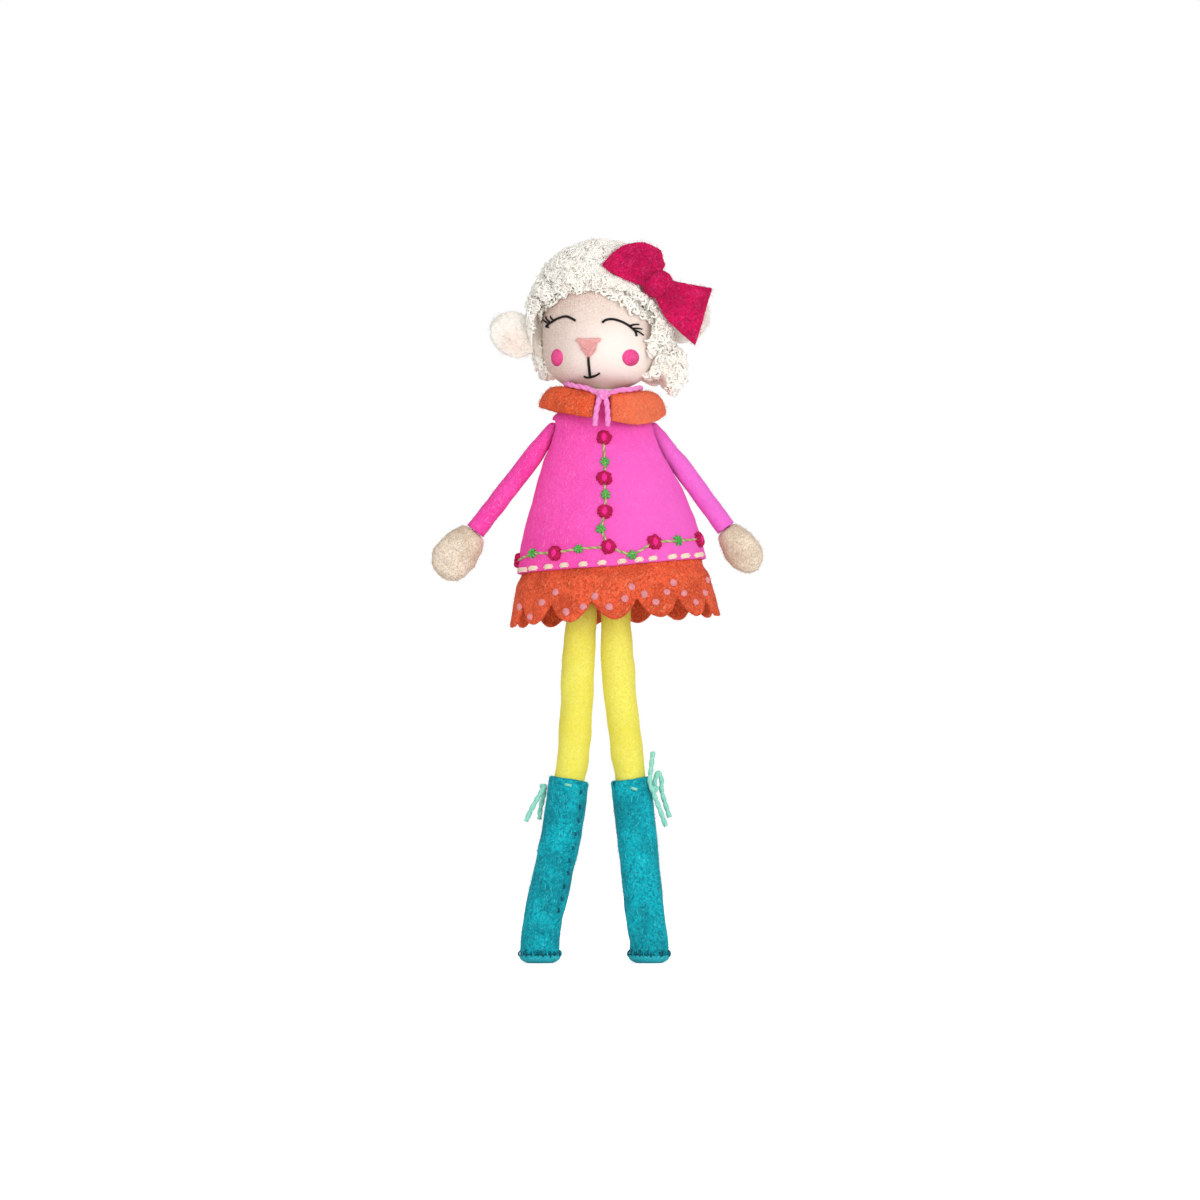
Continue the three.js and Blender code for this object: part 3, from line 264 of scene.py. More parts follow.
# painted light: the face turns paler over its lower front, where the low front light falls
SKIN = woolly("skin pink face felt", "E7D2C7", "BA9E90", "F8E8DF", patch=45, clump=1300, hair=2000,
              hairs=0.5, bump=0.6, deep=0.3, blush_and_painted_light=("FEF0E8", at(8, -27, 294), 10, 46, 0.85))
MITTEN = woolly("beige mitten felt", "F8E7D4", "B69C7E", "FCF4E8", patch=90, clump=1100, hairs=0.6,
                bump=0.9)
EAR_RIGHT = ear_felt("cream right ear felt", at(-45, -4, 311))
EAR_LEFT = ear_felt("cream left ear felt", at(43, -4, 321))
FLEECE = woolly("cream looped wool", "FFFCF5", "FAF4E8", "FFFFFC", patch=120, clump=900, hairs=0.4,
                bump=0.3, sheen=0.8)
ROOTS = woolly("cream wool backing", "FEFAF0", "F8F0E2", "FFFEFA", patch=120, clump=600, hairs=0.5,
               bump=0.4, sheen=0.8)
TIE = woolly("pink tie yarn", "F69AD8", "E67CC2", "FCC4EA", patch=200, clump=1500, hairs=0.5)
LACE = woolly("aqua lace yarn", "9CE0CE", "7ECCB8", "C8F2E8", patch=200, clump=1500, hairs=0.5)
INK = woolly("black thread", "191513", "0C0A09", "3A3432", patch=300, clump=2500, hair=6000, hairs=0.3,
             rough=0.8, sheen=0.05)
NOSE = woolly("salmon nose felt", "FAC4C0", "F2ACA8", "FCDAD6", patch=200, clump=1500, hair=2600, hairs=0.5)
CHEEK = woolly("pink cheek felt", "F65A9E", "E23C84", "FB94C0", patch=200, clump=1500, hair=2600, hairs=0.5)
PETAL = stitch_thread("crimson thread", "CC1058", "9A083E", "E24480")
HEART = stitch_thread("hot pink thread", "FA2C9C", "E01884", "FE74C0")
LEAF = stitch_thread("leaf green thread", "5FC45A", "3C9A40", "A4E48C")
STEM = stitch_thread("moss green thread", "9DB065", "748A44", "C8D090")
STRAW = stitch_thread("straw thread", "D9C79A", "B9A274", "EEE2C0")
CREAM = stitch_thread("cream thread", "F8E6D2", "E4C8AC", "FFF4E6")
KNOT = stitch_thread("rose pink thread", "EA9CA0", "CE7884", "F6C0C2", clump=2000, hairs=0.5)
TEAL_THREAD = stitch_thread("dark teal thread", "0B6478", "064858", "2490A4")
SEAM_PINK = stitch_thread("pink seam thread", "C41880", "9C1062", "E454AC")


# Shapes
def mesh_of(bm, name):
    mesh = bpy.data.meshes.new(name)
    bm.to_mesh(mesh)
    bm.free()
    return mesh


def finish(bm, name, materials, body, replaces=()):
    """A shape as a piece of the doll that rides on a body."""
    mesh = mesh_of(bm, name)
    for material in materials:
        mesh.materials.append(material)
    mesh.shade_smooth()
    made = bpy.data.objects.new(name, mesh)
    scene.collection.objects.link(made)
    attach(made, body)
    if replaces:
        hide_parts(*replaces)
    return made


def settle(made):
    """Bakes a piece's modifiers into its mesh."""
    bpy.context.view_layer.update()
    settled = bpy.data.meshes.new_from_object(made.evaluated_get(bpy.context.evaluated_depsgraph_get()))
    old = made.data
    made.modifiers.clear()
    made.data = settled
    bpy.data.meshes.remove(old)
    made.data.name = made.name
    made.data.shade_smooth()
    return made


def surface_of(made):
    bpy.context.view_layer.update()
    return BVHTree.FromObject(made, bpy.context.evaluated_depsgraph_get())


def clamped(value):
    return min(max(value, 0), 1)


def read(table, place):
    """Straight-line reading of rows of place and value, whose places rise or fall."""
    for (first, value), (second, next_value) in zip(table, table[1:]):
        share = (place - first) / (second - first)
        if share <= 1 or second == table[-1][0]:
            return value + (next_value - value) * clamped(share)


def spline(points, steps):
    """Points along a smooth line through the given ones."""
    points = [Vector(p) for p in points]
    ends = [2 * points[0] - points[1], *points, 2 * points[-1] - points[-2]]
    line = []
    for a, b, c, d in zip(ends, ends[1:], ends[2:], ends[3:]):
        for step in range(steps):
            t = step / steps
            line.append(0.5 * ((2 * b) + (c - a) * t + (2 * a - 5 * b + 4 * c - d) * t ** 2
                               + (3 * b - a - 3 * c + d) * t ** 3))
    return line + [points[-1]]


def placed(centre, across, deep, along):
    """Matrix that sets the unit circle at a centre on two half axes."""
    matrix = Matrix((across, deep, along)).transposed().to_4x4()
    matrix.translation = centre
    return matrix


def face_rank(face, count):
    corners = [vertex.index for vertex in face.verts]
    return 4 * count * min(corners) + sum(corners)


def skin(rings, sides, start=True, end=True):
    """Skin over a row of placed circles, with its ends closed."""
    bm = bmesh.new()
    bmesh.ops.create_circle(bm, segments=sides, radius=1, matrix=rings[0])
    first = edges = bm.edges[:]
    for before, after in zip(rings, rings[1:]):
        grown = bmesh.ops.extrude_edge_only(bm, edges=edges)["geom"]
        loop = [part for part in grown if isinstance(part, bmesh.types.BMVert)]
        mine = set(loop)
        edges = [part for part in grown
                 if isinstance(part, bmesh.types.BMEdge) and mine.issuperset(part.verts)]
        bmesh.ops.transform(bm, matrix=after @ before.inverted(), verts=loop)
    for rim, wanted in ((first, start), (edges, end)):
        if wanted:
            lid = bmesh.ops.edgeloop_fill(bm, edges=rim)["faces"]
            bmesh.ops.poke(bm, faces=lid)
    bmesh.ops.recalc_face_normals(bm, faces=bm.faces[:])
    # extruding leaves the faces in no set order, and fibres are scattered by that order
    bm.verts.index_update()
    bm.faces.sort(key=lambda face: face_rank(face, len(bm.verts)))
    return bm


def framed(points, radius):
    """Placed circles square to a line; radius is a number or a function of the share along it."""
    rings = []
    side = None
    for index, point in enumerate(points):
        ahead = points[min(index + 1, len(points) - 1)]
        behind = points[max(index - 1, 0)]
        along = (ahead - behind).normalized()
        if side is None:
            side = along.orthogonal().normalized()
        side = (side - along * side.dot(along)).normalized()
        size = radius(index / (len(points) - 1)) if callable(radius) else radius
        rings.append(placed(point, side * size, along.cross(side) * size, along))
    return rings


def rope(points, radius, sides=6):
    """Mesh of a round thread along a line."""
    return mesh_of(skin(framed(points, radius), sides), "rope")


def plies(points, diameter, count, pitch):
    """Twisted strands round a line, as lists of points."""
    rings = framed(points, 1)
    run = 0
    strands = [[] for _ in range(count)]
    for index, ring in enumerate(rings):
        if index:
            run += (points[index] - points[index - 1]).length
        for strand in range(count):
            angle = 2 * math.pi * (run / pitch + strand / count)
            offset = Vector((math.cos(angle), math.sin(angle), 0)) * diameter * 0.15
            strands[strand].append(ring @ offset)
    return strands


class Gather:
    """Collects many small shapes into one mesh."""

    def __init__(self):
        self.bm = bmesh.new()

    def add(self, mesh, matrix=None, material=0):
        work = mesh.copy()
        if matrix is not None:
            work.transform(matrix)
        if material:
            for face in work.polygons:
                face.material_index = material
        self.bm.from_mesh(work)
        bpy.data.meshes.remove(work)

    def thread(self, points, radius, material=0, sides=6):
        mesh = rope(points, radius, sides)
        self.add(mesh, None, material)
        bpy.data.meshes.remove(mesh)

    def done(self, name, materials, body, slot, replaces=()):
        return finish(self.bm, name, materials, body, replaces)


def ruffle(made, depth, size, seed):
    """Soft lumps in a felt piece's surface."""
    shift = Vector((seed * 3.1, seed * 1.7, seed * 0.9))
    mesh = made.data
    normals = [v.normal.copy() for v in mesh.vertices]
    for vertex, normal in zip(mesh.vertices, normals):
        lump = noise.noise(vertex.co / (size * MM) + shift)
        vertex.co += normal * lump * depth * MM
    mesh.update()


def soften(made, rounds):
    """Rounds a piece's edges."""
    soft = made.modifiers.new("softening", "SMOOTH")
    soft.factor = 0.5
    soft.iterations = rounds


def felt_over(made, material, voxel, rounds):
    """Melts a piece into one body of felt with soft edges."""
    mesh = made.modifiers.new("felting", "REMESH")
    mesh.mode = "VOXEL"
    mesh.voxel_size = voxel * MM
    mesh.use_smooth_shade = True
    soften(made, rounds)
    settle(made)
    made.data.materials.clear()
    made.data.materials.append(material)


FELT_THICKNESS, FELT_LUMP, FELT_LUMP_SIZE = 2.2, 0.18, 5


def felted(bm, name, material, body, replaces, thickness=FELT_THICKNESS, voxel=0.7, rounds=6,
           cutters=(), offset=-1):
    """A sheet of felt cut to shape: thickened, rounded at its edges and softly uneven."""
    made = finish(bm, name, [material], body, replaces)
    thick = made.modifiers.new("thickness", "SOLIDIFY")
    thick.thickness = thickness * MM
    thick.offset = offset
    thick.use_even_offset = True
    for cutter in cutters:
        hole = made.modifiers.new("armhole", "BOOLEAN")
        hole.operation = "DIFFERENCE"
        hole.solver = "EXACT"
        hole.object = cutter
    settle(made)
    felt_over(made, material, voxel, rounds)
    ruffle(made, FELT_LUMP, FELT_LUMP_SIZE, len(name))
    return made


def grid_sheet(columns, rows, place):
    """Grid of felt laid on a surface: place takes shares from 0 to 1 across and down."""
    bm = bmesh.new()
    bmesh.ops.create_grid(bm, x_segments=columns, y_segments=rows, size=1)
    for vertex in bm.verts:
        vertex.co = place((vertex.co.x + 1) / 2, (1 - vertex.co.y) / 2)
    return bm


def sample(made, count, rng, wanted=None):
    """Even scatter of places and normals over a piece."""
    mesh = made.data
    mesh.calc_loop_triangles()
    triangles = mesh.loop_triangles
    picks = rng.choices(range(len(triangles)), weights=[t.area for t in triangles], k=count)
    found = []
    for pick in picks:
        triangle = triangles[pick]
        a, b, c = (mesh.vertices[i].co for i in triangle.vertices)
        u, v = rng.random(), rng.random()
        if u + v > 1:
            u, v = 1 - u, 1 - v
        place = a + (b - a) * u + (c - a) * v
        normal = triangle.normal.copy()
        if wanted is None or wanted(place, normal):
            found.append((place, normal))
    return found


def stood(place, normal, along, scale):
    """Matrix that stands a small shape on a surface, its x along a direction."""
    side = along - normal * along.dot(normal)
    if side.length < 1e-6:
        side = normal.orthogonal()
    side.normalize()
    return placed(place, side * scale.x, normal.cross(side) * scale.y, normal * scale.z)


def any_way(rng):
    return Vector((rng.uniform(-1, 1), rng.uniform(-1, 1), rng.uniform(-1, 1)))


FIBRE_BENDS = (0.4, 0.8, 1.2, 1.6)
FIBRE_STEPS = (0, 0.4, 0.75, 1)


def fibre_shapes(length, thick):
    """Single fibres, each bent over more than the one before."""
    shapes = []
    for bend in FIBRE_BENDS:
        line = []
        for t in FIBRE_STEPS:
            rise = 0.8 * t * math.cos(bend * t) - 0.08
            line.append(Vector((math.sin(bend * t) * t, 0.2 * math.sin(3 * t), rise)) * length * MM)
        shapes.append(rope(line, lambda share: thick * MM * (1 - 0.7 * share), 3))
    return shapes


def fuzz(made, count, length, material, body, slot, seed, thick=0.07, wanted=None):
    """Loose fibres that stand off a felt piece."""
    rng = random.Random(seed)
    fibres = fibre_shapes(length, thick)
    gather = Gather()
    for place, normal in sample(made, count, rng, wanted):
        size = rng.uniform(0.5, 1.3)
        gather.add(rng.choice(fibres), stood(place, normal, any_way(rng), Vector((size, size, size))))
    return gather.done(made.name + "_fibres", [material], body, slot)


# Stitches
STITCH_ARCH = ((0, -0.6), (0.06, 0.1), (0.25, 0.75), (0.5, 0.95), (0.75, 0.75), (0.94, 0.1), (1, -0.6))


def stitch_shape():
    """A stitch one long and one thick, arched off the felt."""
    rings = []
    for along, rise in STITCH_ARCH:
        centre = Vector((along - 0.5, 0, rise))
        rings.append(placed(centre, Vector((0, 0.5, 0)), Vector((0, 0, 0.5)), Vector((1, 0, 0))))
    return mesh_of(skin(rings, 6), "stitch")


STITCH = stitch_shape()


def sew(gather, first, last, normal, thick, material=0):
    """One stitch from place to place, arched off the felt."""
    along = last - first
    matrix = stood((first + last) / 2, normal, along, Vector((along.length, thick * MM, thick * MM)))
    gather.add(STITCH, matrix, material)


def cast(tree, px, py):
    """Place and normal where a line of sight meets a piece."""
    start, way = sight(px, py)
    place, normal, _, _ = tree.ray_cast(start, way)
    if place is None:
        place, normal, _, _ = tree.find_nearest(start + way * VIEW_DISTANCE)
    return place, normal


def laid(tree, points, lift, steps=8):
    """A thread's line laid on a piece through places of the picture."""
    line = []
    for point in spline([(px, py, 0) for px, py in points], steps):
        place, normal = cast(tree, point.x, point.y)
        line.append(place + normal * lift * MM)
    return line


KNOT_STEPS, KNOT_TURNS = 16, 2.2


def french_knot(gather, place, normal, radius, material, rng):
    """A thread wound on itself into a small dome."""
    turn = rng.uniform(0, 6.3)
    line = []
    for step in range(KNOT_STEPS + 1):
        share = step / KNOT_STEPS
        angle = turn + share * KNOT_TURNS * 2 * math.pi
        reach = radius * (0.78 - 0.6 * share)
        rise = radius * (0.1 + 0.45 * share)
        line.append(Vector((reach * math.cos(angle), reach * math.sin(angle), rise)))
    mesh = rope(line, radius * 0.36, 6)
    gather.add(mesh, stood(place, normal, any_way(rng), Vector((1, 1, 1))), material)
    bpy.data.meshes.remove(mesh)


# Head
HEAD_HALF_WIDTH, HEAD_HALF_DEPTH, CHIN_DROP, CROWN_RISE, JAW_POWER = 29, 28, 29.5, 36, 3
HEAD_MIDDLE = at(HEAD_X, 0, HEAD_Z)
FACE_TURN = math.radians(-12.8)


def head_place(angle, rise):
    below = rise < 0
    ratio = min(abs(rise) / (CHIN_DROP if below else CROWN_RISE), 1)
    power = JAW_POWER if below else 2
    wide = HEAD_HALF_WIDTH * (1 - ratio ** power) ** (1 / power)
    deep = HEAD_HALF_DEPTH * math.sqrt(1 - ratio ** 2)
    place = Vector((wide * math.sin(angle), -deep * math.cos(angle), rise))
    place.rotate(Matrix.Rotation(FACE_TURN, 3, "Z"))
    return at(HEAD_X + place.x, place.y, HEAD_Z + place.z)


def make_head():
    bm = bmesh.new()
    bmesh.ops.create_uvsphere(bm, u_segments=96, v_segments=64, radius=1)
    for vertex in bm.verts:
        x, y, z = vertex.co
        vertex.co = head_place(math.atan2(x, -y), z * (CHIN_DROP if z < 0 else CROWN_RISE))
    head = finish(bm, "face", [SKIN], "head", ["head_cover", "head_stuffing"])
    ruffle(head, 0.35, 14, 3)
    return head


# Face: lines of thread, the nose and the cheek spots, as places of the picture
EYELIDS = {
    "eye_right": [(575.7, 320.7), (570, 317.6), (564.6, 316.6), (557, 319.2), (550.5, 323.2), (547.2, 326)],
    "eye_left": [(602.2, 322.6), (606, 320), (612, 319.2), (619, 320.8), (626, 324), (631.5, 328),
                 (635.2, 332), (636.2, 336.2)],
}
LASHES = {
    "eye_right": [
        [(551, 322.6), (547.5, 319.6), (546.2, 316.6)],
        [(549.5, 324), (546, 321.8), (543.6, 319.8)],
        [(554, 320.6), (552, 318.6), (551, 316.4)],
        [(547.6, 325.6), (546.6, 326.8), (549.5, 327.6)],
    ],
    "eye_left": [
        [(629, 326), (634, 324.6), (638.5, 324.6)],
        [(632, 328.6), (637, 328.4), (641.5, 329.2)],
        [(633.4, 330), (638.6, 332), (643.2, 335.4)],
    ],
}
MOUTH_FALL = [(588.4, 356.5), (588.7, 362), (589.2, 368), (590, 375)]
SMILE = [(583.9, 375.6), (587, 376.9), (591, 376.4), (595.6, 375), (599.8, 372.6)]
NOSE_X, NOSE_TOP_Y, NOSE_DROP, NOSE_HALF_WIDTH, NOSE_TIP = 588.6, 338.6, 17.6, 11, 0.9
# Middle, half width, half height and tilt of each cheek spot
CHEEKS = {"cheek_right": (557.1, 357.6, 5.9, 8.6, 0.28), "cheek_left": (630.6, 357.6, 8.5, 8.4, 0)}
THREAD_LIFT = 0.35


def make_eye(tree, name):
    gather = Gather()
    gather.thread(laid(tree, EYELIDS[name], THREAD_LIFT), 0.62 * MM, sides=8)
    for lash in LASHES[name]:
        gather.thread(laid(tree, lash, THREAD_LIFT + 0.1, 4), lambda share: (0.56 - 0.2 * share) * MM)
    gather.done(name + "_stitches", [INK], "head", "thread", [name])


def make_mouth(tree):
    gather = Gather()
    gather.thread(laid(tree, MOUTH_FALL, THREAD_LIFT), 0.68 * MM, sides=8)
    gather.thread(laid(tree, SMILE, THREAD_LIFT + 0.15),
                  lambda share: (0.66 - 0.2 * abs(2 * share - 1)) * MM, sides=8)
    gather.done("mouth_stitches", [INK], "head", "thread", ["mouth"])


def make_nose(tree):
    def nose_place(share, down):
        half = NOSE_HALF_WIDTH * (1 - down) ** 0.85 + NOSE_TIP + 0.8 * math.sin(9 * down + 2)
        across = 2 * share - 1
        place, normal = cast(tree, NOSE_X + 0.4 * down + half * across, NOSE_TOP_Y + NOSE_DROP * down)
        dome = 0.9 * math.sqrt(max(1 - across ** 2, 0)) * (1 - 0.5 * down)
        return place + normal * (0.2 + dome) * MM

    nose = felted(grid_sheet(20, 20, nose_place), "nose_pad", NOSE, "head", ["nose"], 1, voxel=0.4,
                  rounds=9, offset=0)
    fuzz(nose, 700, 1.5, NOSE, "head", "nose", 31)


def make_cheek(tree, name):
    px, py, wide, tall, tilt = CHEEKS[name]
    bm = bmesh.new()
    bmesh.ops.create_circle(bm, cap_ends=True, segments=36, radius=1)
    disc = bm.faces[:]
    for inset in (0.3, 0.3):
        bmesh.ops.inset_region(bm, faces=disc, thickness=inset)
    bmesh.ops.poke(bm, faces=disc)
    for vertex in bm.verts:
        x, y = vertex.co.x, vertex.co.y
        rim = min(math.hypot(x, y), 1)
        across = x * math.cos(tilt) - y * math.sin(tilt)
        up = x * math.sin(tilt) + y * math.cos(tilt)
        place, normal = cast(tree, px + across * wide, py - up * tall)
        vertex.co = place + normal * (0.15 + 0.45 * math.sqrt(1 - rim ** 4)) * MM
    bmesh.ops.recalc_face_normals(bm, faces=bm.faces[:])
    spot = finish(bm, name + "_spot", [CHEEK], "head", [name])
    thick = spot.modifiers.new("thickness", "SOLIDIFY")
    thick.thickness = 0.5 * MM
    thick.offset = -1


def make_features(head):
    tree = surface_of(head)
    for name in EYELIDS:
        make_eye(tree, name)
    make_mouth(tree)
    make_nose(tree)
    for name in CHEEKS:
        make_cheek(tree, name)


# Ears, bow and wig
EAR_LENGTH, EAR_HALF_HEIGHT, EAR_ROOT_X = 20, 11.5, 34.5


def ear_half_height(along):
    widest = 0.38
    if along < widest:
        return EAR_HALF_HEIGHT * (0.72 + 0.28 * math.sin(math.pi / 2 * max(along / widest, 0)))
    return EAR_HALF_HEIGHT * math.sqrt(max(1 - ((along - widest) / (1 - widest)) ** 2, 0.02))


def make_ear(name, side, root_rise, tip_rise):
    def place(share, down):
        along, across = -0.06 + 1.06 * share, 1 - 2 * down
        cup = 3 * along * across ** 2 + 0.5 * math.sin(5 * across + 3 * along)
        return at(HEAD_X + side * (EAR_ROOT_X + EAR_LENGTH * along), cup,
                  HEAD_Z + root_rise + tip_rise * along + ear_half_height(along) * across)

    bm = grid_sheet(24, 24, place if side > 0 else lambda share, down: place(1 - share, down))
    felt = EAR_RIGHT if side < 0 else EAR_LEFT
    ear = felted(bm, name + "_leaf", felt, name, [name], 2.4, voxel=0.6, rounds=8, offset=0)
    fuzz(ear, 700, 2.4, felt, name, "ear", 40 + side)
    return ear


# The bow strip from its upper end to its lower one: its middle line, then share along, half width and slant
BOW_LINE = [(15.2, -25, 34.6), (20.6, -27.5, 27.2), (28.6, -27.5, 20.6), (37.6, -24.5, 12.6),
            (51.6, -17.5, 5.6)]
BOW_PATH = spline(BOW_LINE, 16)
BOW_SLANT = 42
BOW_FORM = [(1, 15, 74), (0.75, 9.8, 66), (0.6, 5.6, 52), (0.5, 4.4, BOW_SLANT), (0.4, 5.8, 30),
            (0.25, 12.2, 14), (0, 15.2, 20)]
BOW_PLEAT, BOW_GATHER = 1.6, 0.36
BOW_ROUND_END, BOW_ROUND_RISE, BOW_ROUND_NIP = 0.3, 6.4, 2.4
BOW_UP = Vector((-0.3, 0, 0.95))
# The band round the bow's middle: steps along it with their swell, and its half sizes
BAND_STEPS = ((-1, -2.2), (-0.9, -1.2), (-0.5, 0), (0, 0.2), (0.5, 0), (0.9, -1.2), (1, -2.2))
BAND_HALF_LENGTH, BAND_HALF_WIDTH, BAND_HALF_DEPTH = 5.2, 7.2, 5.9


def bow_place(along, across):
    spot = clamped(along) * (len(BOW_PATH) - 1)
    low = min(int(spot), len(BOW_PATH) - 2)
    middle = BOW_PATH[low].lerp(BOW_PATH[low + 1], spot - low)
    slant = math.radians(read([(place, turn) for place, _, turn in BOW_FORM], along))
    width = read([(place, half) for place, half, _ in BOW_FORM], along)
    spread = min(abs(along - 0.5) / BOW_GATHER, 1)
    pleat = BOW_PLEAT * math.cos(across * 2.5 * math.pi) * (1 - spread)
    # the upper end is cut round, the lower one straight
    if along < BOW_ROUND_END:
        swell = BOW_ROUND_RISE * (1 - across ** 2) - BOW_ROUND_NIP * max(across, 0) ** 4
        middle = middle + BOW_UP * swell * (1 - along / BOW_ROUND_END) ** 1.5
    place = middle + Vector((math.cos(slant), 0, math.sin(slant))) * width * across
    back = -5 if along < 0.5 and across < 0 else 3.4
    return at(HEAD_X + place.x, place.y + back * across ** 2 * spread - pleat, HEAD_Z + place.z)


def make_bow():
    bm = grid_sheet(60, 28, lambda share, down: bow_place(share, 1 - 2 * down))
    bow = felted(bm, "bow_strip", BOW, "head", ["bow"], voxel=0.6, rounds=5, offset=0)
    middle = len(BOW_PATH) // 2
    along = (BOW_PATH[middle + 3] - BOW_PATH[middle - 3]).normalized()
    slant = math.radians(BOW_SLANT)
    across = Vector((math.cos(slant), 0, math.sin(slant)))
    out = along.cross(across).normalized()
    rings = []
    for step, swell in BAND_STEPS:
        centre = BOW_PATH[middle] + along * step * BAND_HALF_LENGTH
        rings.append(placed(at(HEAD_X + centre.x, centre.y, HEAD_Z + centre.z),
                            across * (BAND_HALF_WIDTH + swell) * MM, out * (BAND_HALF_DEPTH + swell) * MM,
                            along * MM))
    band = finish(skin(rings, 40), "bow_wrap", [BOW], "head", ["bow_band"])
    ruffle(band, 0.7, 4, 5)
    fuzz(bow, 1700, 2.4, BOW_FIBRE, "head", "bow", 50)
    fuzz(band, 260, 2, BOW_FIBRE, "head", "bow", 51)
    return bow


# Curls of looped wool: flat or not, turns, reach and length
CURLS = ((1, 1.6, 1.25, 3.2), (1, 1.2, 1.5, 2.2), (1, 1.9, 1.1, 4), (0, 1.5, 1.1, 4), (0, 1.8, 1, 5.2),
         (0, 1.3, 1.2, 6))
FLAT_CURLS, CURL_STEPS = 3, 11


def curl_shapes():
    """Running loops that lie flat, then short corkscrews."""
    shapes = []
    for flat, turns, reach, long in CURLS:
        line = []
        for step in range(CURL_STEPS + 1):
            share = step / CURL_STEPS
            angle = share * turns * 2 * math.pi
            swing = reach * math.cos(angle)
            rise = 0.6 * (1 - flat) * swing + 0.7 * math.sin(math.pi * share)
            line.append(Vector((long * (share - 0.5) + flat * swing, reach * math.sin(angle), rise)) * MM)
        shapes.append(rope(line, lambda share: (0.64 - 0.18 * abs(2 * share - 1) ** 3) * MM, 4))
    return shapes


# Where the curls end on the face, and where fringe curls and locks start, as places of the picture
HAIRLINE = [(534, 372), (536, 345), (539, 326), (549, 309), (559, 300), (574, 293), (594, 290), (606, 293),
            (619, 302), (631, 311), (644, 318), (655, 330), (659, 350), (661, 375), (664, 396)]
HAIRLINE_STRETCHES = list(zip(HAIRLINE, HAIRLINE[1:]))
HAIR_DEEPENS = 26
FRINGE_X, FRINGE_Y = (532, 668), (268, 396)
LOCK_X, LOCK_Y, LOCK_DROP, LOCK_LEAN = (600, 690), (280, 345), (18, 40), (-4, 10)
# Depth of the wool at the hairline and further back
FRINGE_DEPTH, WIG_DEPTH = 2, 8.5
# How the backing thins towards the face, stays full behind the bow and is cut short at the nape
FRONT_FADE, BOW_FADE, NAPE_DROP, NAPE_FADE, NAPE_LIFT = 10, 8, 16, 6, 1.8
CURL_COUNT, FRINGE_COUNT, CROP_COUNT, LOCK_COUNT, LOCK_STEPS = 6600, 3000, 24000, 110, 19
CURL_ROOM, CROP_ROOM, EAR_FLAP_ROOM = 3, 1.1, 0.42
CROWN_CURLS_RISE = 28
CROP_SIZE = Vector((0.6, 0.6, 0.45))
WIG_PATCHES = ("front_right", "front_left", "back_right", "back_left", "crown")


def above_hairline(px, py):
    """True where the head is covered with wool."""
    if px <= HAIRLINE[0][0] or px >= HAIRLINE[-1][0]:
        return True
    for (x0, y0), (x1, y1) in HAIRLINE_STRETCHES:
        if x0 <= px < x1:
            return py < y0 + (y1 - y0) * (px - x0) / (x1 - x0)
    return False


def hair_depth(px, py):
    """Depth of the wool in millimetres, thin at the hairline and full further back."""
    spot = Vector((px, py))
    feet = [geometry.intersect_point_line(spot, Vector(first), Vector(last))
            for first, last in HAIRLINE_STRETCHES]
    # a foot that falls off the end of its stretch counts last
    near, _ = min(feet, key=lambda foot: (foot[0] - spot).length if 0 <= foot[1] <= 1 else PIXELS)
    share = min((near - spot).length / HAIR_DEEPENS, 1)
    return FRINGE_DEPTH + (WIG_DEPTH - FRINGE_DEPTH) * share * share * (3 - 2 * share)


def make_backing(face, bow):
    """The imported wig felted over, thinned towards the face and cut short at the nape."""
    cad = bpy.data.objects["wool_wig"]
    bm = bmesh.new()
    bm.from_mesh(cad.data)
    bm.transform(cad.matrix_world)
    bmesh.ops.remove_doubles(bm, verts=bm.verts[:], dist=1e-5)
    wig = finish(bm, "wig_backing", [ROOTS], "head", ["wool_wig"])
    felt_over(wig, ROOTS, 1.1, 10)
    for vertex in wig.data.vertices:
        # the wool thins out towards the face, but stays full behind the bow
        front = clamped(-(vertex.co.y - SHIFT.y) / MM / FRONT_FADE - 0.4)
        held = clamped(bow.find_nearest(vertex.co)[3] / MM / BOW_FADE - 0.5)
        near, _, _, away = face.find_nearest(vertex.co)
        depth = hair_depth(*picture(vertex.co)) * MM
        if away > depth:
            vertex.co = vertex.co.lerp(near + (vertex.co - near) * depth / away, front * held)
        # the nape stays short, so that the head can nod back over the collar
        low = clamped(((HEAD_MIDDLE.z - vertex.co.z) / MM - NAPE_DROP) / NAPE_FADE)
        back = clamped((vertex.co.y - SHIFT.y) / MM / FRONT_FADE)
        vertex.co.z += NAPE_LIFT * low * back * MM
    wig.data.update()
    ruffle(wig, 0.8, 4, 9)
    return wig


def fringe_spots(face, wool, clear, rng):
    """Places for curls on bare skin between the backing and the hairline."""
    spots = []
    for _ in range(FRINGE_COUNT):
        px, py = rng.uniform(*FRINGE_X), rng.uniform(*FRINGE_Y)
        if above_hairline(px, py):
            start, way = sight(px, py)
            place, normal, _, far = face.ray_cast(start, way)
            cover = wool.ray_cast(start, way)[3]
            if place is not None and (cover is None or cover > far) and clear(place, normal):
                spots.append((place + normal * hair_depth(px, py) * rng.uniform(0.1, 1) * MM, normal))
    return spots


def make_curls(spots, shapes, rng):
    patches = [Gather() for _ in WIG_PATCHES]
    for place, normal in spots:
        size = rng.uniform(0.75, 1.25)
        tilt = (normal + any_way(rng) * 0.4).normalized()
        patch = 2 * int(place.y > HEAD_MIDDLE.y) + int(place.x > HEAD_MIDDLE.x)
        if place.z > HEAD_MIDDLE.z + CROWN_CURLS_RISE * MM:
            patch = WIG_PATCHES.index("crown")
        patches[patch].add(rng.choice(shapes), stood(place, tilt, any_way(rng), Vector((size,) * 3)))
    for patch, name in zip(patches, WIG_PATCHES):
        patch.done("wig_curls_" + name, [FLEECE], "head", "wig")


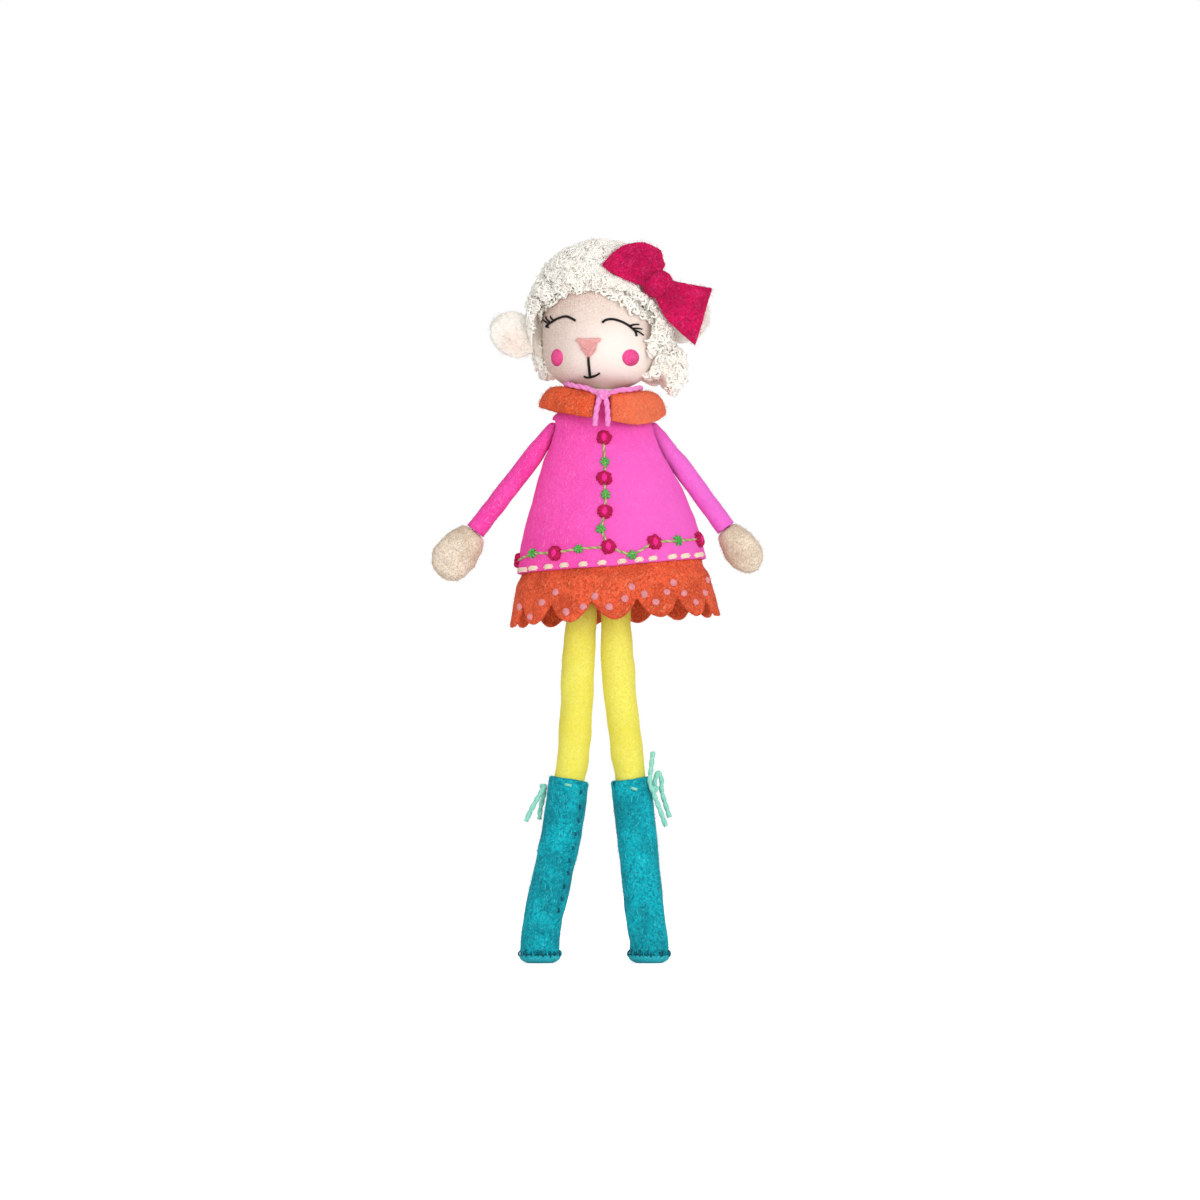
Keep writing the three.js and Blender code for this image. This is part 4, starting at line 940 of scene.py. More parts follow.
def make_locks(face, wool, clear, rng):
    """Long corkscrew locks on the doll's left, kept where they lie whole on the wool."""
    locks = Gather()
    for _ in range(LOCK_COUNT):
        top = Vector((rng.uniform(*LOCK_X), rng.uniform(*LOCK_Y), 0))
        long = rng.uniform(*LOCK_DROP)
        lean = rng.uniform(*LOCK_LEAN)
        line = []
        covered = True
        for step in range(LOCK_STEPS + 1):
            share = step / LOCK_STEPS
            px, py = top.x + lean * share + 10 * share * share, top.y + long * share
            covered = covered and above_hairline(px, py - 3)
            start, way = sight(px, py)
            hit, normal, _, far = wool.ray_cast(start, way)
            skin_hit, skin_normal, _, skin_far = face.ray_cast(start, way)
            if hit is None or (skin_hit is not None and skin_far < far):
                hit, normal = skin_hit, skin_normal
            if hit is None:
                hit, normal, _, _ = wool.find_nearest(start + way * VIEW_DISTANCE)
            angle = share * 5.4 * math.pi + top.x
            side = normal.cross(Vector((0, 0, 1))).normalized()
            reach = 1.3 * (1 - 0.35 * share)
            out = normal * (1.8 + reach * math.cos(angle)) * MM
            line.append(hit + out + side * reach * math.sin(angle) * MM)
        whole = all((after - before).length < 4 * MM for before, after in zip(line, line[1:]))
        if covered and whole and all(clear(place, Vector()) for place in line):
            locks.thread(line, lambda share: (0.72 - 0.3 * share) * MM)
    locks.done("wig_locks", [FLEECE], "head", "wig")


def make_wig(head, bow, ears):
    face, bow_felt = surface_of(head), surface_of(bow)
    ear_felts = [surface_of(ear) for ear in ears]

    def clear(place, normal, room=CURL_ROOM * MM):
        """True where wool keeps off the bow, and off the ears as they flap."""
        spot = place + normal * 0.5 * room
        if bow_felt.find_nearest(spot)[3] < 0.8 * room:
            return False
        # an ear flaps about its root, so it needs more room further out
        for felt, side in zip(ear_felts, (-1, 1)):
            out = (spot - at(HEAD_X + side * EAR_ROOT_X, 0, HEAD_Z)).xy.length
            if felt.find_nearest(spot)[3] < room + EAR_FLAP_ROOM * out:
                return False
        return True

    def outside(place, normal):
        """True where full curls fit: out on the head, and not under the nape."""
        away = (place - HEAD_MIDDLE).normalized()
        if away.dot(normal) < 0.15 and not (normal.y < -0.45 and away.z > -0.3):
            return False
        if away.y > 0 and place.z < HEAD_MIDDLE.z - 14 * MM and normal.z < -0.3:
            return False
        return clear(place, normal)

    def short(place, normal):
        """True where only short wool fits: beside the ears, behind the bow and under the nape."""
        out = (place - HEAD_MIDDLE).normalized().dot(normal)
        if out <= 0.15 or normal.z <= -0.7 or outside(place, normal):
            return False
        return clear(place, normal, CROP_ROOM * MM)

    wig = make_backing(face, bow_felt)
    wool = surface_of(wig)
    shapes = curl_shapes()
    rng = random.Random(11)
    spots = sample(wig, CURL_COUNT, rng, outside)
    spots += fringe_spots(face, wool, clear, rng)
    make_curls(spots, shapes, rng)
    fuzz(wig, 5200, 3.2, FLEECE, "head", "wig", 12, 0.08, outside)
    cropped = Gather()
    crop = random.Random(13)
    for place, normal in sample(wig, CROP_COUNT, crop, short):
        shape = crop.choice(shapes[:FLAT_CURLS])
        cropped.add(shape, stood(place, normal, any_way(crop), CROP_SIZE))
    cropped.done("wig_short_curls", [FLEECE], "head", "wig")
    make_locks(face, wool, clear, rng)


# Body and clothes
# Heights with half widths and half depths
TORSO_FORM = [(281, 9, 9), (277, 11.6, 10.6), (272, 16.5, 13), (268, 20.7, 14), (260, 20.7, 14.6),
              (245, 22.5, 15.4), (215, 23.5, 16.5), (194, 22.5, 15.5), (188.1, 20.5, 14), (185.1, 18, 12),
              (184.1, 14.5, 9)]
NECK_FORM = [(281.4, 9, 9), (282, 9.7, 9.7), (283, 10, 10), (285, 10, 10), (285.8, 9.7, 9.7), (286.2, 9, 9)]
TORSO_TOP_Z, COAT_LEAN = 281, -0.055
COAT_WIDTHS = [(280, 13.2), (277.6, 19), (275.6, 24), (274, 25.8), (271, 27), (268, 26.6), (254, 31),
               (241, 35.5), (231, 38.6), (221, 42.2), (211, 45.1), (196.5, 47.9)]
COAT_DEPTHS = [(280, 13), (275, 15), (268, 17.5), (241, 21), (221, 26), (196.5, 30)]
COAT_TOP_Z, COAT_SEAM_Z, COAT_RISE, HEM_LAP = 280, 196.5, 2.4, 5.5
HEM_BEND_Z, HEM_BEND_SHARE = 191, 0.4
HEM_FLARE = [(195.8, -2.6), (HEM_BEND_Z, 0.4), (180, 2.9), (168, 5.6)]
SCALLOPS, SCALLOP_CUSP_Z, SCALLOP_DEPTH, SCALLOP_POWER = 7, 180.6, 10.6, 0.75
SIDE_SEAM = 0.006
PANEL_HALF_TURN = math.pi / 2 - SIDE_SEAM
PANEL_MIDDLES = {"front": 0, "back": math.pi}
SHOULDER_X, SHOULDER_Z, SHOULDER_COVER = 27, 268, 3.1
# Radii of the room round an arm and how far out from the shoulder they are
ARM_SPACE = [(2.5, -6.6), (2.5, -5.3), (7.8, -2.2), (11.5, -0.3), (14.4, 1.2), (25.4, 8.7), (30, 12),
             (30, 60)]
COLLAR_INNER_Z, COLLAR_INNER, COLLAR_WIDE, COLLAR_DEEP, COLLAR_ROLL = 283, 13, 31, 24.5, 0.05
COLLAR_DROP, COLLAR_LEFT_DROP, COLLAR_SPLIT = 9.25, 3.8, math.radians(8)


def leaned(place, turn, height):
    place = place - Vector((0, 0, height))
    place.rotate(Matrix.Rotation(turn, 3, "Y"))
    return at(place.x, place.y, place.z + height)


def oval(angle, wide, deep, z):
    return Vector((wide * math.sin(angle), -deep * math.cos(angle), z))


def level_rings(rows, x):
    return [placed(at(x, 0, z), Vector((wide * MM, 0, 0)), Vector((0, deep * MM, 0)), Vector((0, 0, MM)))
            for z, wide, deep in rows]


def coat_low(angle):
    """Height of the coat's lower edge, which rises towards the doll's left."""
    return COAT_SEAM_Z + COAT_RISE * max(math.sin(angle), 0)


def coat_place(angle, z):
    return leaned(oval(angle, read(COAT_WIDTHS, z), read(COAT_DEPTHS, z), z), COAT_LEAN, TORSO_TOP_Z)


def hem_place(angle, z):
    flare = read(HEM_FLARE, z)
    wide = read(COAT_WIDTHS, z) + flare
    deep = read(COAT_DEPTHS, z) + (0.6 if flare > 0 else 1) * flare
    return leaned(oval(angle, wide, deep, z), COAT_LEAN, TORSO_TOP_Z)


def rolled(place):
    """A place on the collar, which leans as one with the tie."""
    return leaned(Vector(place), COLLAR_ROLL, COLLAR_INNER_Z)


def collar_place(angle, share):
    drop = COLLAR_DROP * (1 + 0.1622 * math.cos(angle) + 0.2432 * math.cos(2 * angle))
    if angle < math.pi / 2:
        drop += COLLAR_LEFT_DROP * math.sin(2 * angle)
    spread = 1 - (1 - share) ** 1.6
    wide = COLLAR_INNER + (COLLAR_WIDE - COLLAR_INNER) * spread
    deep = COLLAR_INNER + (COLLAR_DEEP - COLLAR_INNER) * spread
    roll = 1 + 3 * math.sin(angle) ** 2
    z = COLLAR_INNER_Z + roll * math.sin(math.pi * share) - drop * share ** 2.2
    return rolled(oval(angle, wide, deep, z))


def make_torso():
    torso = finish(skin(level_rings(TORSO_FORM, 0), 40), "body_bag", [SLEEVE], "torso",
                   ["torso_cover", "torso_stuffing"])
    neck = finish(skin(level_rings(NECK_FORM, HEAD_X), 40), "neck_stump", [SKIN], "neck", ["neck"])


def arm_space(side):
    """Room in which an arm swings, as the armhole it leaves in the coat."""
    rings = [placed(at(side * (SHOULDER_X + out), 0, SHOULDER_Z), Vector((0, radius * MM, 0)),
                    Vector((0, 0, radius * MM)), Vector((side * MM, 0, 0))) for radius, out in ARM_SPACE]
    bm = skin(rings, 48)
    # the coat keeps a small shoulder over the arm
    cut = bmesh.ops.bisect_plane(
        bm, geom=bm.verts[:] + bm.edges[:] + bm.faces[:], clear_outer=True,
        plane_co=at(0, 0, SHOULDER_Z + SHOULDER_COVER), plane_no=(0, 0, 1))["geom_cut"]
    bmesh.ops.holes_fill(bm, edges=[part for part in cut if isinstance(part, bmesh.types.BMEdge)])
    made = bpy.data.objects.new("arm_space", mesh_of(bm, "arm_space"))
    scene.collection.objects.link(made)
    made.hide_render = True
    return made


def make_coat():
    spaces = [arm_space(-1), arm_space(1)]
    panels = {}
    for facing, middle in PANEL_MIDDLES.items():
        name = "coat_" + facing

        def place(share, down):
            angle = middle + (2 * share - 1) * PANEL_HALF_TURN
            return coat_place(angle, COAT_TOP_Z + (coat_low(angle) - COAT_TOP_Z) * down)

        panel = felted(grid_sheet(90, 60, place), name + "_panel", COAT, "torso", [name],
                       cutters=spaces)
        panels[facing] = panel
    for space in spaces:
        mesh = space.data
        bpy.data.objects.remove(space)
        bpy.data.meshes.remove(mesh)
    return panels


def make_hem():
    strips = {}
    for facing, middle in PANEL_MIDDLES.items():
        name = "hem_" + facing

        def place(share, down):
            # the back's scallops are half a scallop out of step with the front's
            turn = math.pi * ((share * SCALLOPS + (0.5 if middle else 0)) % 1)
            low = SCALLOP_CUSP_Z - SCALLOP_DEPTH * math.sin(turn) ** SCALLOP_POWER
            top = COAT_SEAM_Z + HEM_LAP
            if down < HEM_BEND_SHARE:
                z = top + (HEM_BEND_Z - top) * down / HEM_BEND_SHARE
            else:
                z = HEM_BEND_Z + (low - HEM_BEND_Z) * (down - HEM_BEND_SHARE) / (1 - HEM_BEND_SHARE)
            return hem_place(middle + (2 * share - 1) * PANEL_HALF_TURN, z)

        strip = felted(grid_sheet(SCALLOPS * 20, 30, place), name + "_strip", HEM, "torso", [name],
                       rounds=4)
        fuzz(strip, 900, 1.6, HEM, "torso", "hem", 60 + len(name))
        strips[facing] = strip
    return strips


def make_collar():
    turn = 2 * (math.pi - COLLAR_SPLIT)
    bm = grid_sheet(130, 16, lambda share, down: collar_place(COLLAR_SPLIT + share * turn, down))
    collar = felted(bm, "collar_ring", COLLAR, "torso", ["collar"], offset=0)
    fuzz(collar, 1900, 1.9, COLLAR, "torso", "collar", 70)


# Yarn ties
TIE_DIAMETER, LACE_DIAMETER, TWIST_PITCH = 2.8, 2.52, 9
TIE_KNOT = (0, -24.4, 282.2)
# One end of the neck tie from the collar down
TIE_FALL = [(1.8, -22.4, 282), (1.9, -24.2, 279), (2.5, -25.6, 275.4), (3, -27.3, 271), (3.2, -27.6, 266)]
TIE_START, TIE_STEPS = 0.34, 18
OVERHAND_STEPS = 39


def yarn(points, diameter, name, material, body, slot, replaces):
    """A twisted yarn along a line."""
    line = spline(points, 14)
    gather = Gather()
    for strand in plies(line, diameter, 2, TWIST_PITCH * MM):
        gather.thread(strand, diameter * 0.37, sides=8)
    made = gather.done(name, [material], body, slot, replaces)
    length = sum((b - a).length for a, b in zip(line, line[1:]))


def knot(place, radius, name, material, body, slot, replaces):
    """An overhand knot: yarn wound over itself."""
    line = []
    for step in range(OVERHAND_STEPS + 1):
        angle = step / OVERHAND_STEPS * 2 * math.pi
        loop = Vector((math.sin(angle) + 2 * math.sin(2 * angle), -math.sin(3 * angle),
                       math.cos(angle) - 2 * math.cos(2 * angle)))
        line.append(place + loop * radius * 0.3 * MM)
    gather = Gather()
    gather.thread(line, radius * 0.42 * MM, sides=8)
    gather.done(name, [material], body, slot, replaces)


def make_tie():
    points = [rolled(place) for place in reversed(TIE_FALL)]
    for step in range(TIE_STEPS + 1):
        angle = TIE_START + step / TIE_STEPS * 2 * (math.pi - TIE_START)
        front = max(math.cos(angle), 0)
        points.append(collar_place(angle, 0.17 + 0.25 * front) + Vector((0, -1.2 * front, 2.5)) * MM)
    points += [rolled((-x, y, z)) for x, y, z in TIE_FALL]
    middle = rolled(TIE_KNOT)
    yarn(points, TIE_DIAMETER * MM, "neck_tie_yarn", TIE, "torso", "tie", ["neck_tie"])
    knot(middle, 2.3, "tie_knot_yarn", TIE, "torso", "tie", ["tie_knot"])


# Limbs
def evened(points, step):
    """Points at even steps along a line."""
    out = [points[0]]
    left = step
    for a, b in zip(points, points[1:]):
        length = (b - a).length
        while left <= length:
            out.append(a.lerp(b, left / length))
            left += step
        left -= length
    if (out[-1] - points[-1]).length > step * 0.3:
        out.append(points[-1])
    else:
        out[-1] = points[-1]
    return out


def flat_rings(points, wide, deep):
    """Rings square to a line in the plane of the doll's front, of widths and depths by share along it."""
    rings = []
    for index, point in enumerate(points):
        along = (points[min(index + 1, len(points) - 1)] - points[max(index - 1, 0)]).normalized()
        share = index / (len(points) - 1)
        across = Vector((0, 1, 0)).cross(along)
        rings.append(placed(point, across * wide(share), Vector((0, 1, 0)) * deep(share), along))
    return rings


def round_top(points, radius):
    along = (points[1] - points[0]).normalized()
    across = Vector((0, 1, 0)).cross(along)
    rings = []
    for turn in (0.2, 0.5, 0.8, 1.1, 1.35):
        size = radius * math.sin(turn)
        centre = points[0] - along * radius * math.cos(turn)
        rings.append(placed(centre, across * size, Vector((0, 1, 0)) * size, along))
    return rings


WINDING_STEPS, WINDING_TURNS = 48, 3


def winding(centre, axis, radius, length, name, material, body, slot, replaces):
    """A shank of wound thread between two pieces."""
    side = axis.orthogonal().normalized()
    other = axis.cross(side)
    line = []
    for step in range(WINDING_STEPS + 1):
        share = step / WINDING_STEPS
        angle = share * WINDING_TURNS * 2 * math.pi
        out = side * math.cos(angle) + other * math.sin(angle)
        line.append(centre + axis * length * (share - 0.5) + out * radius * 0.7)
    gather = Gather()
    gather.thread(line, radius * 0.3)
    gather.done(name, [material], body, slot, replaces)


# Arms: lines from the shoulder down as x and z, and shares along a sleeve or hand with half sizes
ARM_LINES = {
    "right": [(-33, 256.5), (-40.5, 246), (-52, 231), (-64, 215.5)],
    "left": [(33, 256), (40.5, 246), (51.5, 231), (61.5, 217)],
}
SLEEVE_HALF_WIDTH = 5
SLEEVE_WIDTHS = [(0, 3), (0.09, 3.8), (0.2, 4.6), (0.35, SLEEVE_HALF_WIDTH), (0.75, 4.9),
                 (1, SLEEVE_HALF_WIDTH)]
HAND_WIDTHS = [(0, 0.62), (0.18, 0.8), (0.45, 1), (0.7, 0.96), (0.88, 0.74), (0.97, 0.4), (1, 0.14)]
HAND_DEPTHS = [(0, 0.84), (0.18, 0.94), (0.45, 1), (0.7, 0.96), (0.88, 0.76), (0.97, 0.42), (1, 0.16)]
HAND_LENGTHS, HAND_HALF_WIDTHS = {"right": 29, "left": 26}, {"right": 11, "left": 9.2}
HAND_HALF_DEPTH, HAND_GAP, HAND_STEPS = 7.4, 0.2, 24
SIDES = {"right": -1, "left": 1}


def sleeve_size(share):
    return read(SLEEVE_WIDTHS, share) * MM


def make_arm(name):
    body, side = "arm_" + name, SIDES[name]
    root = at(side * SHOULDER_X, 0, SHOULDER_Z)
    line = evened(spline([root, *(at(x, 0, z) for x, z in ARM_LINES[name])], 16), 1.6 * MM)
    # towards the shoulder the sleeve narrows on its outer side
    inward = Vector((0, side, 0)).cross((line[1] - line[0]).normalized())
    last = len(line) - 1
    line = [point + inward * max(SLEEVE_HALF_WIDTH - read(SLEEVE_WIDTHS, index / last), 0) * MM
            for index, point in enumerate(line)]
    rings = round_top(line, SLEEVE_WIDTHS[0][1] * MM) + flat_rings(line, sleeve_size, sleeve_size)
    sleeve = finish(skin(rings, 40), body + "_sleeve", [SLEEVE], body,
                    ["arm_cover_" + name, "arm_stuffing_" + name])
    ruffle(sleeve, 0.35, 7, 12 + side)
    along = (line[-1] - line[-2]).normalized()
    length = HAND_LENGTHS[name] - HAND_GAP
    spots = [line[-1] + along * (HAND_GAP + step / HAND_STEPS * length) * MM
             for step in range(HAND_STEPS + 1)]
    rings = flat_rings(spots, lambda share: HAND_HALF_WIDTHS[name] * read(HAND_WIDTHS, share) * MM,
                       lambda share: HAND_HALF_DEPTH * read(HAND_DEPTHS, share) * MM)
    hand = finish(skin(rings, 44), "mitten_" + name, [MITTEN], body,
                  ["hand_cover_" + name, "hand_stuffing_" + name])
    soften(hand, 6)
    settle(hand)
    ruffle(hand, 0.7, 6, 20 + side)
    fuzz(hand, 420, 1.8, MITTEN, body, "hands", 80 + side)
    fuzz(sleeve, 260, 1.5, SLEEVE, body, "coat", 84 + side)
    shank = "shoulder_thread_" + name
    winding(at(side * (SHOULDER_X - 5.5), 0, SHOULDER_Z), Vector((side, 0, 0)), 2.2 * MM, 1 * MM,
            "shoulder_winding_" + name, SEAM_PINK, shank, "coat", [shank])


# Legs: lines from the hip down as x and z, and shares along a leg with half widths
LEG_TOP_X = {"right": -10.3, "left": 6.3}
LEG_LINES = {
    "right": [(-12.3, 152), (-13, 131), (-14.8, 104), (-17.6, 86), (-21.6, 60), (-29.6, 23.5), (-31.4, 12)],
    "left": [(7.2, 152), (9, 131), (12.2, 104), (14.4, 86), (17.2, 60), (21, 23.5), (22.9, 12)],
}
LEG_TOP_Z, HIP_Z, BOOT_TOP_Z, FOOT_Z = 175, 183.4, 92, 4.2
LEG_WIDTHS = [(0, 7.4), (0.15, 8.3), (0.42, 8.05), (0.47, 7.5), (0.6, 7.5), (1, 7.1)]
BOOT_WIDTHS = [(0, 10.1), (0.6, 10), (0.95, 9.7), (1, 9.6)]
BOOT_START, BOOT_INNER, BOOT_LIP, BOOT_LIP_RISE = 0.48, 8.0, 9.1, 0.9
SOLE_SHARES = (0, 0.05, 0.12, 0.25, 0.4, 0.55, 0.7, 0.82, 0.885)
SOLE_RADIUS, SOLE_DROP, SOLE_POWER, SOLE_STITCHES = 10.3, 4.4, 2.6, 30
# Routes of the laces and where their knots sit
LACES = {
    "right": {"lace_ends": [(-38.4, -2.5, 70.5), (-35.4, -2.8, 77), (-31.4, -2.4, 84), (-29.2, -0.6, 87.6),
                            (-29.2, 1.6, 86), (-30, 3, 82), (-31.2, 3.5, 77), (-31.8, 3.6, 71.5)]},
    "left": {"lace_ends": [(24.9, -3, 105), (24, -5, 97), (23.3, -6.8, 90), (24.6, -6.4, 86),
                           (26.5, -4.6, 81), (29, -3.2, 74.5), (31.3, -3, 68)],
             "lace_loop": [(25.8, -4.2, 86), (25.8, -2.6, 90.5), (27.6, -1.4, 94.6), (29.2, -0.6, 91),
                           (29.2, -0.4, 86), (31, 0, 79.5), (33.2, 0.2, 72.6)]},
}
LACE_KNOTS = {"right": (-29.8, -0.4, 87.6), "left": (26, -5.4, 86.6)}
# Stitches down the shafts and through their tops, as places of the picture
SHAFT_STITCHES = {
    "right": [(580.8, 790), (579.4, 804.4), (577.2, 818), (574.8, 832), (572.9, 846), (569.2, 858.6),
              (567.3, 870.7), (564.4, 884), (561.5, 897), (558.4, 908)],
    "left": [(615.6, 781)],
}
LACE_STITCHES = {"right": (568, 785), "left": (634, 788.7)}


def leg_size(share):
    return read(LEG_WIDTHS, share) * MM


def boot_size(share):
    return read(BOOT_WIDTHS, BOOT_START + (1 - BOOT_START) * share) * MM


def make_legging(name):
    """The stuffed leg. Gives its middle line."""
    body, side = "leg_" + name, SIDES[name]
    foot_x = LEG_LINES[name][-1][0]
    points = [at(LEG_TOP_X[name], 0, LEG_TOP_Z), *(at(x, 0, z) for x, z in LEG_LINES[name]),
              at(foot_x, 0, FOOT_Z + 5), at(foot_x, 0, FOOT_Z)]
    line = evened(spline(points, 16), 1.8 * MM)
    rings = round_top(line, LEG_WIDTHS[0][1] * MM) + flat_rings(line, leg_size, leg_size)
    leg = finish(skin(rings, 40), body + "_legging", [LEGGING], body,
                 ["leg_cover_" + name, "leg_stuffing_" + name])
    ruffle(leg, 0.55, 9, 30 + side)
    fuzz(leg, 420, 1.3, LEGGING, body, "legs", 90 + side)
    return line


def make_boot(name, line):
    body, side = "leg_" + name, SIDES[name]
    top = next(index for index, point in enumerate(line) if point.z <= BOOT_TOP_Z * MM)
    shaft = line[top:]
    outer = flat_rings(shaft, boot_size, boot_size)
    inner = flat_rings(shaft[:6], lambda share: BOOT_INNER * MM, lambda share: BOOT_INNER * MM)[::-1]
    along = (shaft[0] - shaft[1]).normalized()
    lip = Matrix.Translation(along * BOOT_LIP_RISE * MM) @ placed(
        shaft[0], Vector((0, 1, 0)).cross(-along) * BOOT_LIP * MM, Vector((0, BOOT_LIP * MM, 0)), -along)
    boot = finish(skin([*inner, lip, *outer], 44, start=False), body + "_boot", [BOOT], body,
                  ["boot_shaft_" + name])
    ruffle(boot, 0.55, 8, 33 + side)
    fuzz(boot, 900, 1.6, BOOT, body, "boots", 95 + side)
    return boot


def make_sole(name, foot):
    rings = []
    for share in SOLE_SHARES:
        radius = SOLE_RADIUS * (1 - share ** SOLE_POWER) ** (1 / SOLE_POWER) * MM
        rings.append(placed(foot - Vector((0, 0, 0.3 + share * SOLE_DROP)) * MM, Vector((radius, 0, 0)),
                            Vector((0, radius, 0)), Vector((0, 0, -MM))))
    body = "leg_" + name
    return finish(skin(rings, 48), body + "_sole", [SOLE], body, ["boot_sole_" + name])


def sew_boot(name, boot, sole, foot):
    body = "leg_" + name
    tree, low = surface_of(boot), surface_of(sole)
    rng = random.Random(140 + SIDES[name])
    # stitches that hold the sole to the shaft, one in three in the boot's own colour
    gather = Gather()
    for step in range(SOLE_STITCHES):
        angle = (step + rng.uniform(0.2, 0.8)) / SOLE_STITCHES * 2 * math.pi
        out = Vector((math.sin(angle), -math.cos(angle), 0))
        around = Vector((math.cos(angle), math.sin(angle), 0))
        first = tree.find_nearest(foot + out * 9.7 * MM + Vector((0, 0, rng.uniform(1.2, 2.8))) * MM)[0]
        last = low.find_nearest(foot + out * 10.3 * MM - Vector((0, 0, rng.uniform(0.6, 1.6))) * MM)[0]
        last = last + around * rng.uniform(-0.6, 1.8) * MM
        sew(gather, first, last, out, rng.uniform(0.6, 0.95), int(step % 3 == 1))
    gather.done("sole_stitches_" + name, [TEAL_THREAD, BOOT], body, "thread")
    gather = Gather()
    for px, py in SHAFT_STITCHES[name]:
        place, normal = cast(tree, px, py)
        last, _ = cast(tree, px + rng.uniform(-1.5, 1.5), py + rng.uniform(4, 5.4))
        sew(gather, place, last, normal, 1)
    px, py = LACE_STITCHES[name]
    first, normal = cast(tree, px - 3.4, py - 0.8)
    last, _ = cast(tree, px + 3.4, py + 0.8)
    sew(gather, first, last, normal, 1.5, 1)
    gather.done("shaft_stitches_" + name, [TEAL_THREAD, LACE], body, "thread")


def make_leg(name):
    body = "leg_" + name
    line = make_legging(name)
    boot = make_boot(name, line)
    sole = make_sole(name, line[-1])
    sew_boot(name, boot, sole, line[-1])
    middle = at(*LACE_KNOTS[name])
    for lace, route in LACES[name].items():
        yarn([at(*place) for place in route], LACE_DIAMETER * MM, f"{lace}_yarn_{name}", LACE, body, "lace",
             [f"{lace}_{name}"])
    knot(middle, 1.6, "lace_knot_yarn_" + name, LACE, body, "lace", ["lace_knot_" + name])
    shank = "hip_thread_" + name
    winding(at(LEG_TOP_X[name], 0, HIP_Z), Vector((0, 0, 1)), 1.4 * MM, 0.9 * MM, "hip_winding_" + name,
            LEGGING, shank, "legs", [shank])


# Embroidery on the coat, as places of the picture
FLOWERS = [(604, 437.5), (604.5, 478), (605, 511.7), (608.5, 547), (517.5, 561), (555, 553.4),
           (654.4, 542.2), (698.7, 539.6)]
LEAVES = [(605, 462), (605.7, 494.8), (601, 529.3), (533, 553.4), (578.7, 549), (632, 555), (677.7, 540.5)]
RUNNING = [(523, 572), (533, 569), (548.5, 569.4), (564, 569.4), (583, 566.8), (602, 566.8), (622, 565),
           (639, 563.7), (653, 561), (672.5, 560.3), (685.4, 557), (699, 557)]
RUNNING_HIGHEST, RUNNING_MARGIN = 545, 3.4
KNOTS = [(520, 607), (530, 617), (542, 603), (556, 592.5), (566, 611.6), (583, 607), (595, 596), (609, 607),
         (625, 599), (632, 587), (644, 594), (656, 602), (667, 592), (673, 583), (684, 593), (696, 602),
         (705, 593), (707, 580)]
STEMS = [
    [(604, 437), (604, 450), (605, 462), (604.5, 478), (605.5, 495), (605, 512), (602, 529), (608.5, 547)],
    [(514, 563), (533, 554), (555, 553), (578.7, 549), (608, 548), (632, 554), (654, 543), (677.7, 541),
     (700, 539)],
]
# Rings of petal stitches: lift, reach, count and thickness
PETAL_RINGS = ((0, 4, 13, 1.5), (1, 3.2, 12, 1.3))
HEART_RADIUS, HEART_ROW = 2.15, 0.62
LEAF_PETALS = 7


def level_base(tree, px, py):
    """Matrix on the felt at a place of the picture, in millimetres, and the normal there."""
    place, normal = cast(tree, px, py)
    return stood(place, normal, Vector((1, 0, 0)), Vector((MM, MM, MM))), normal


def sew_flower(tree, number, px, py, rng):
    base, normal = level_base(tree, px, py)
    gather = Gather()
    for ring, reach, count, thick in PETAL_RINGS:
        for petal in range(count):
            angle = (petal + 0.5 * ring) / count * 2 * math.pi + rng.uniform(-0.1, 0.1)
            out = Vector((math.cos(angle), math.sin(angle), 0))
            far = reach * rng.uniform(0.88, 1.08)
            near = out * 0.8 + Vector((0, 0, 0.6 * ring))
            sew(gather, base @ near, base @ (out * far), normal, thick)
    for row in range(-3, 4):
        across = row * HEART_ROW
        half = math.sqrt(HEART_RADIUS ** 2 - across ** 2)
        sew(gather, base @ Vector((-half, across, 1)), base @ Vector((half, across, 1)), normal, 0.85, 1)
    gather.done(f"rose_{number}_stitches", [PETAL, HEART], "torso", "rose", [f"rose_{number}"])


def sew_leaves(tree, rng):
    gather = Gather()
    for px, py in LEAVES:
        base, normal = level_base(tree, px, py)
        turn = rng.uniform(0, 3)
        for petal in range(LEAF_PETALS):
            angle = turn + petal / LEAF_PETALS * 2 * math.pi
            out = Vector((math.cos(angle), math.sin(angle), 0))
            sew(gather, base @ (out * 0.5), base @ (out * rng.uniform(2.2, 3)), normal, 1.2)
        french_knot(gather, base @ Vector((0, 0, 0.4)), normal, 0.9 * MM, 0, rng)
    gather.done("leaf_stitches", [LEAF], "torso", "thread")


def sew_vine(tree):
    gather = Gather()
    for stem in STEMS:
        line = laid(tree, stem, 0.35, 14)
        for number, strand in enumerate(plies(line, 1.7 * MM, 2, 4 * MM)):
            gather.thread(strand, 0.5 * MM, number)
    gather.done("vine_stitches", [STEM, STRAW], "torso", "thread")


def sew_running(tree):
    gather = Gather()
    for px, py in RUNNING:
        # the row keeps just above the coat's lower edge
        while tree.ray_cast(*sight(px, py + RUNNING_MARGIN))[0] is None and py > RUNNING_HIGHEST:
            py -= 0.5
        _, normal = cast(tree, px, py)
        for lift, half in ((-0.7, 3.9), (0, 5), (0.7, 3.9)):
            shift = Vector((0, 0, lift)) * MM
            first, _ = cast(tree, px - half, py + 0.5)
            last, _ = cast(tree, px + half, py - 0.5)
            sew(gather, first + shift, last + shift, normal, 1.1)
    gather.done("running_stitches", [CREAM], "torso", "thread")


def sew_knots(tree, rng):
    gather = Gather()
    for px, py in KNOTS:
        place, normal = cast(tree, px, py)
        french_knot(gather, place - normal * 0.2 * MM, normal, rng.uniform(1.75, 2.05) * MM, 0, rng)
    gather.done("hem_knots", [KNOT], "torso", "thread")


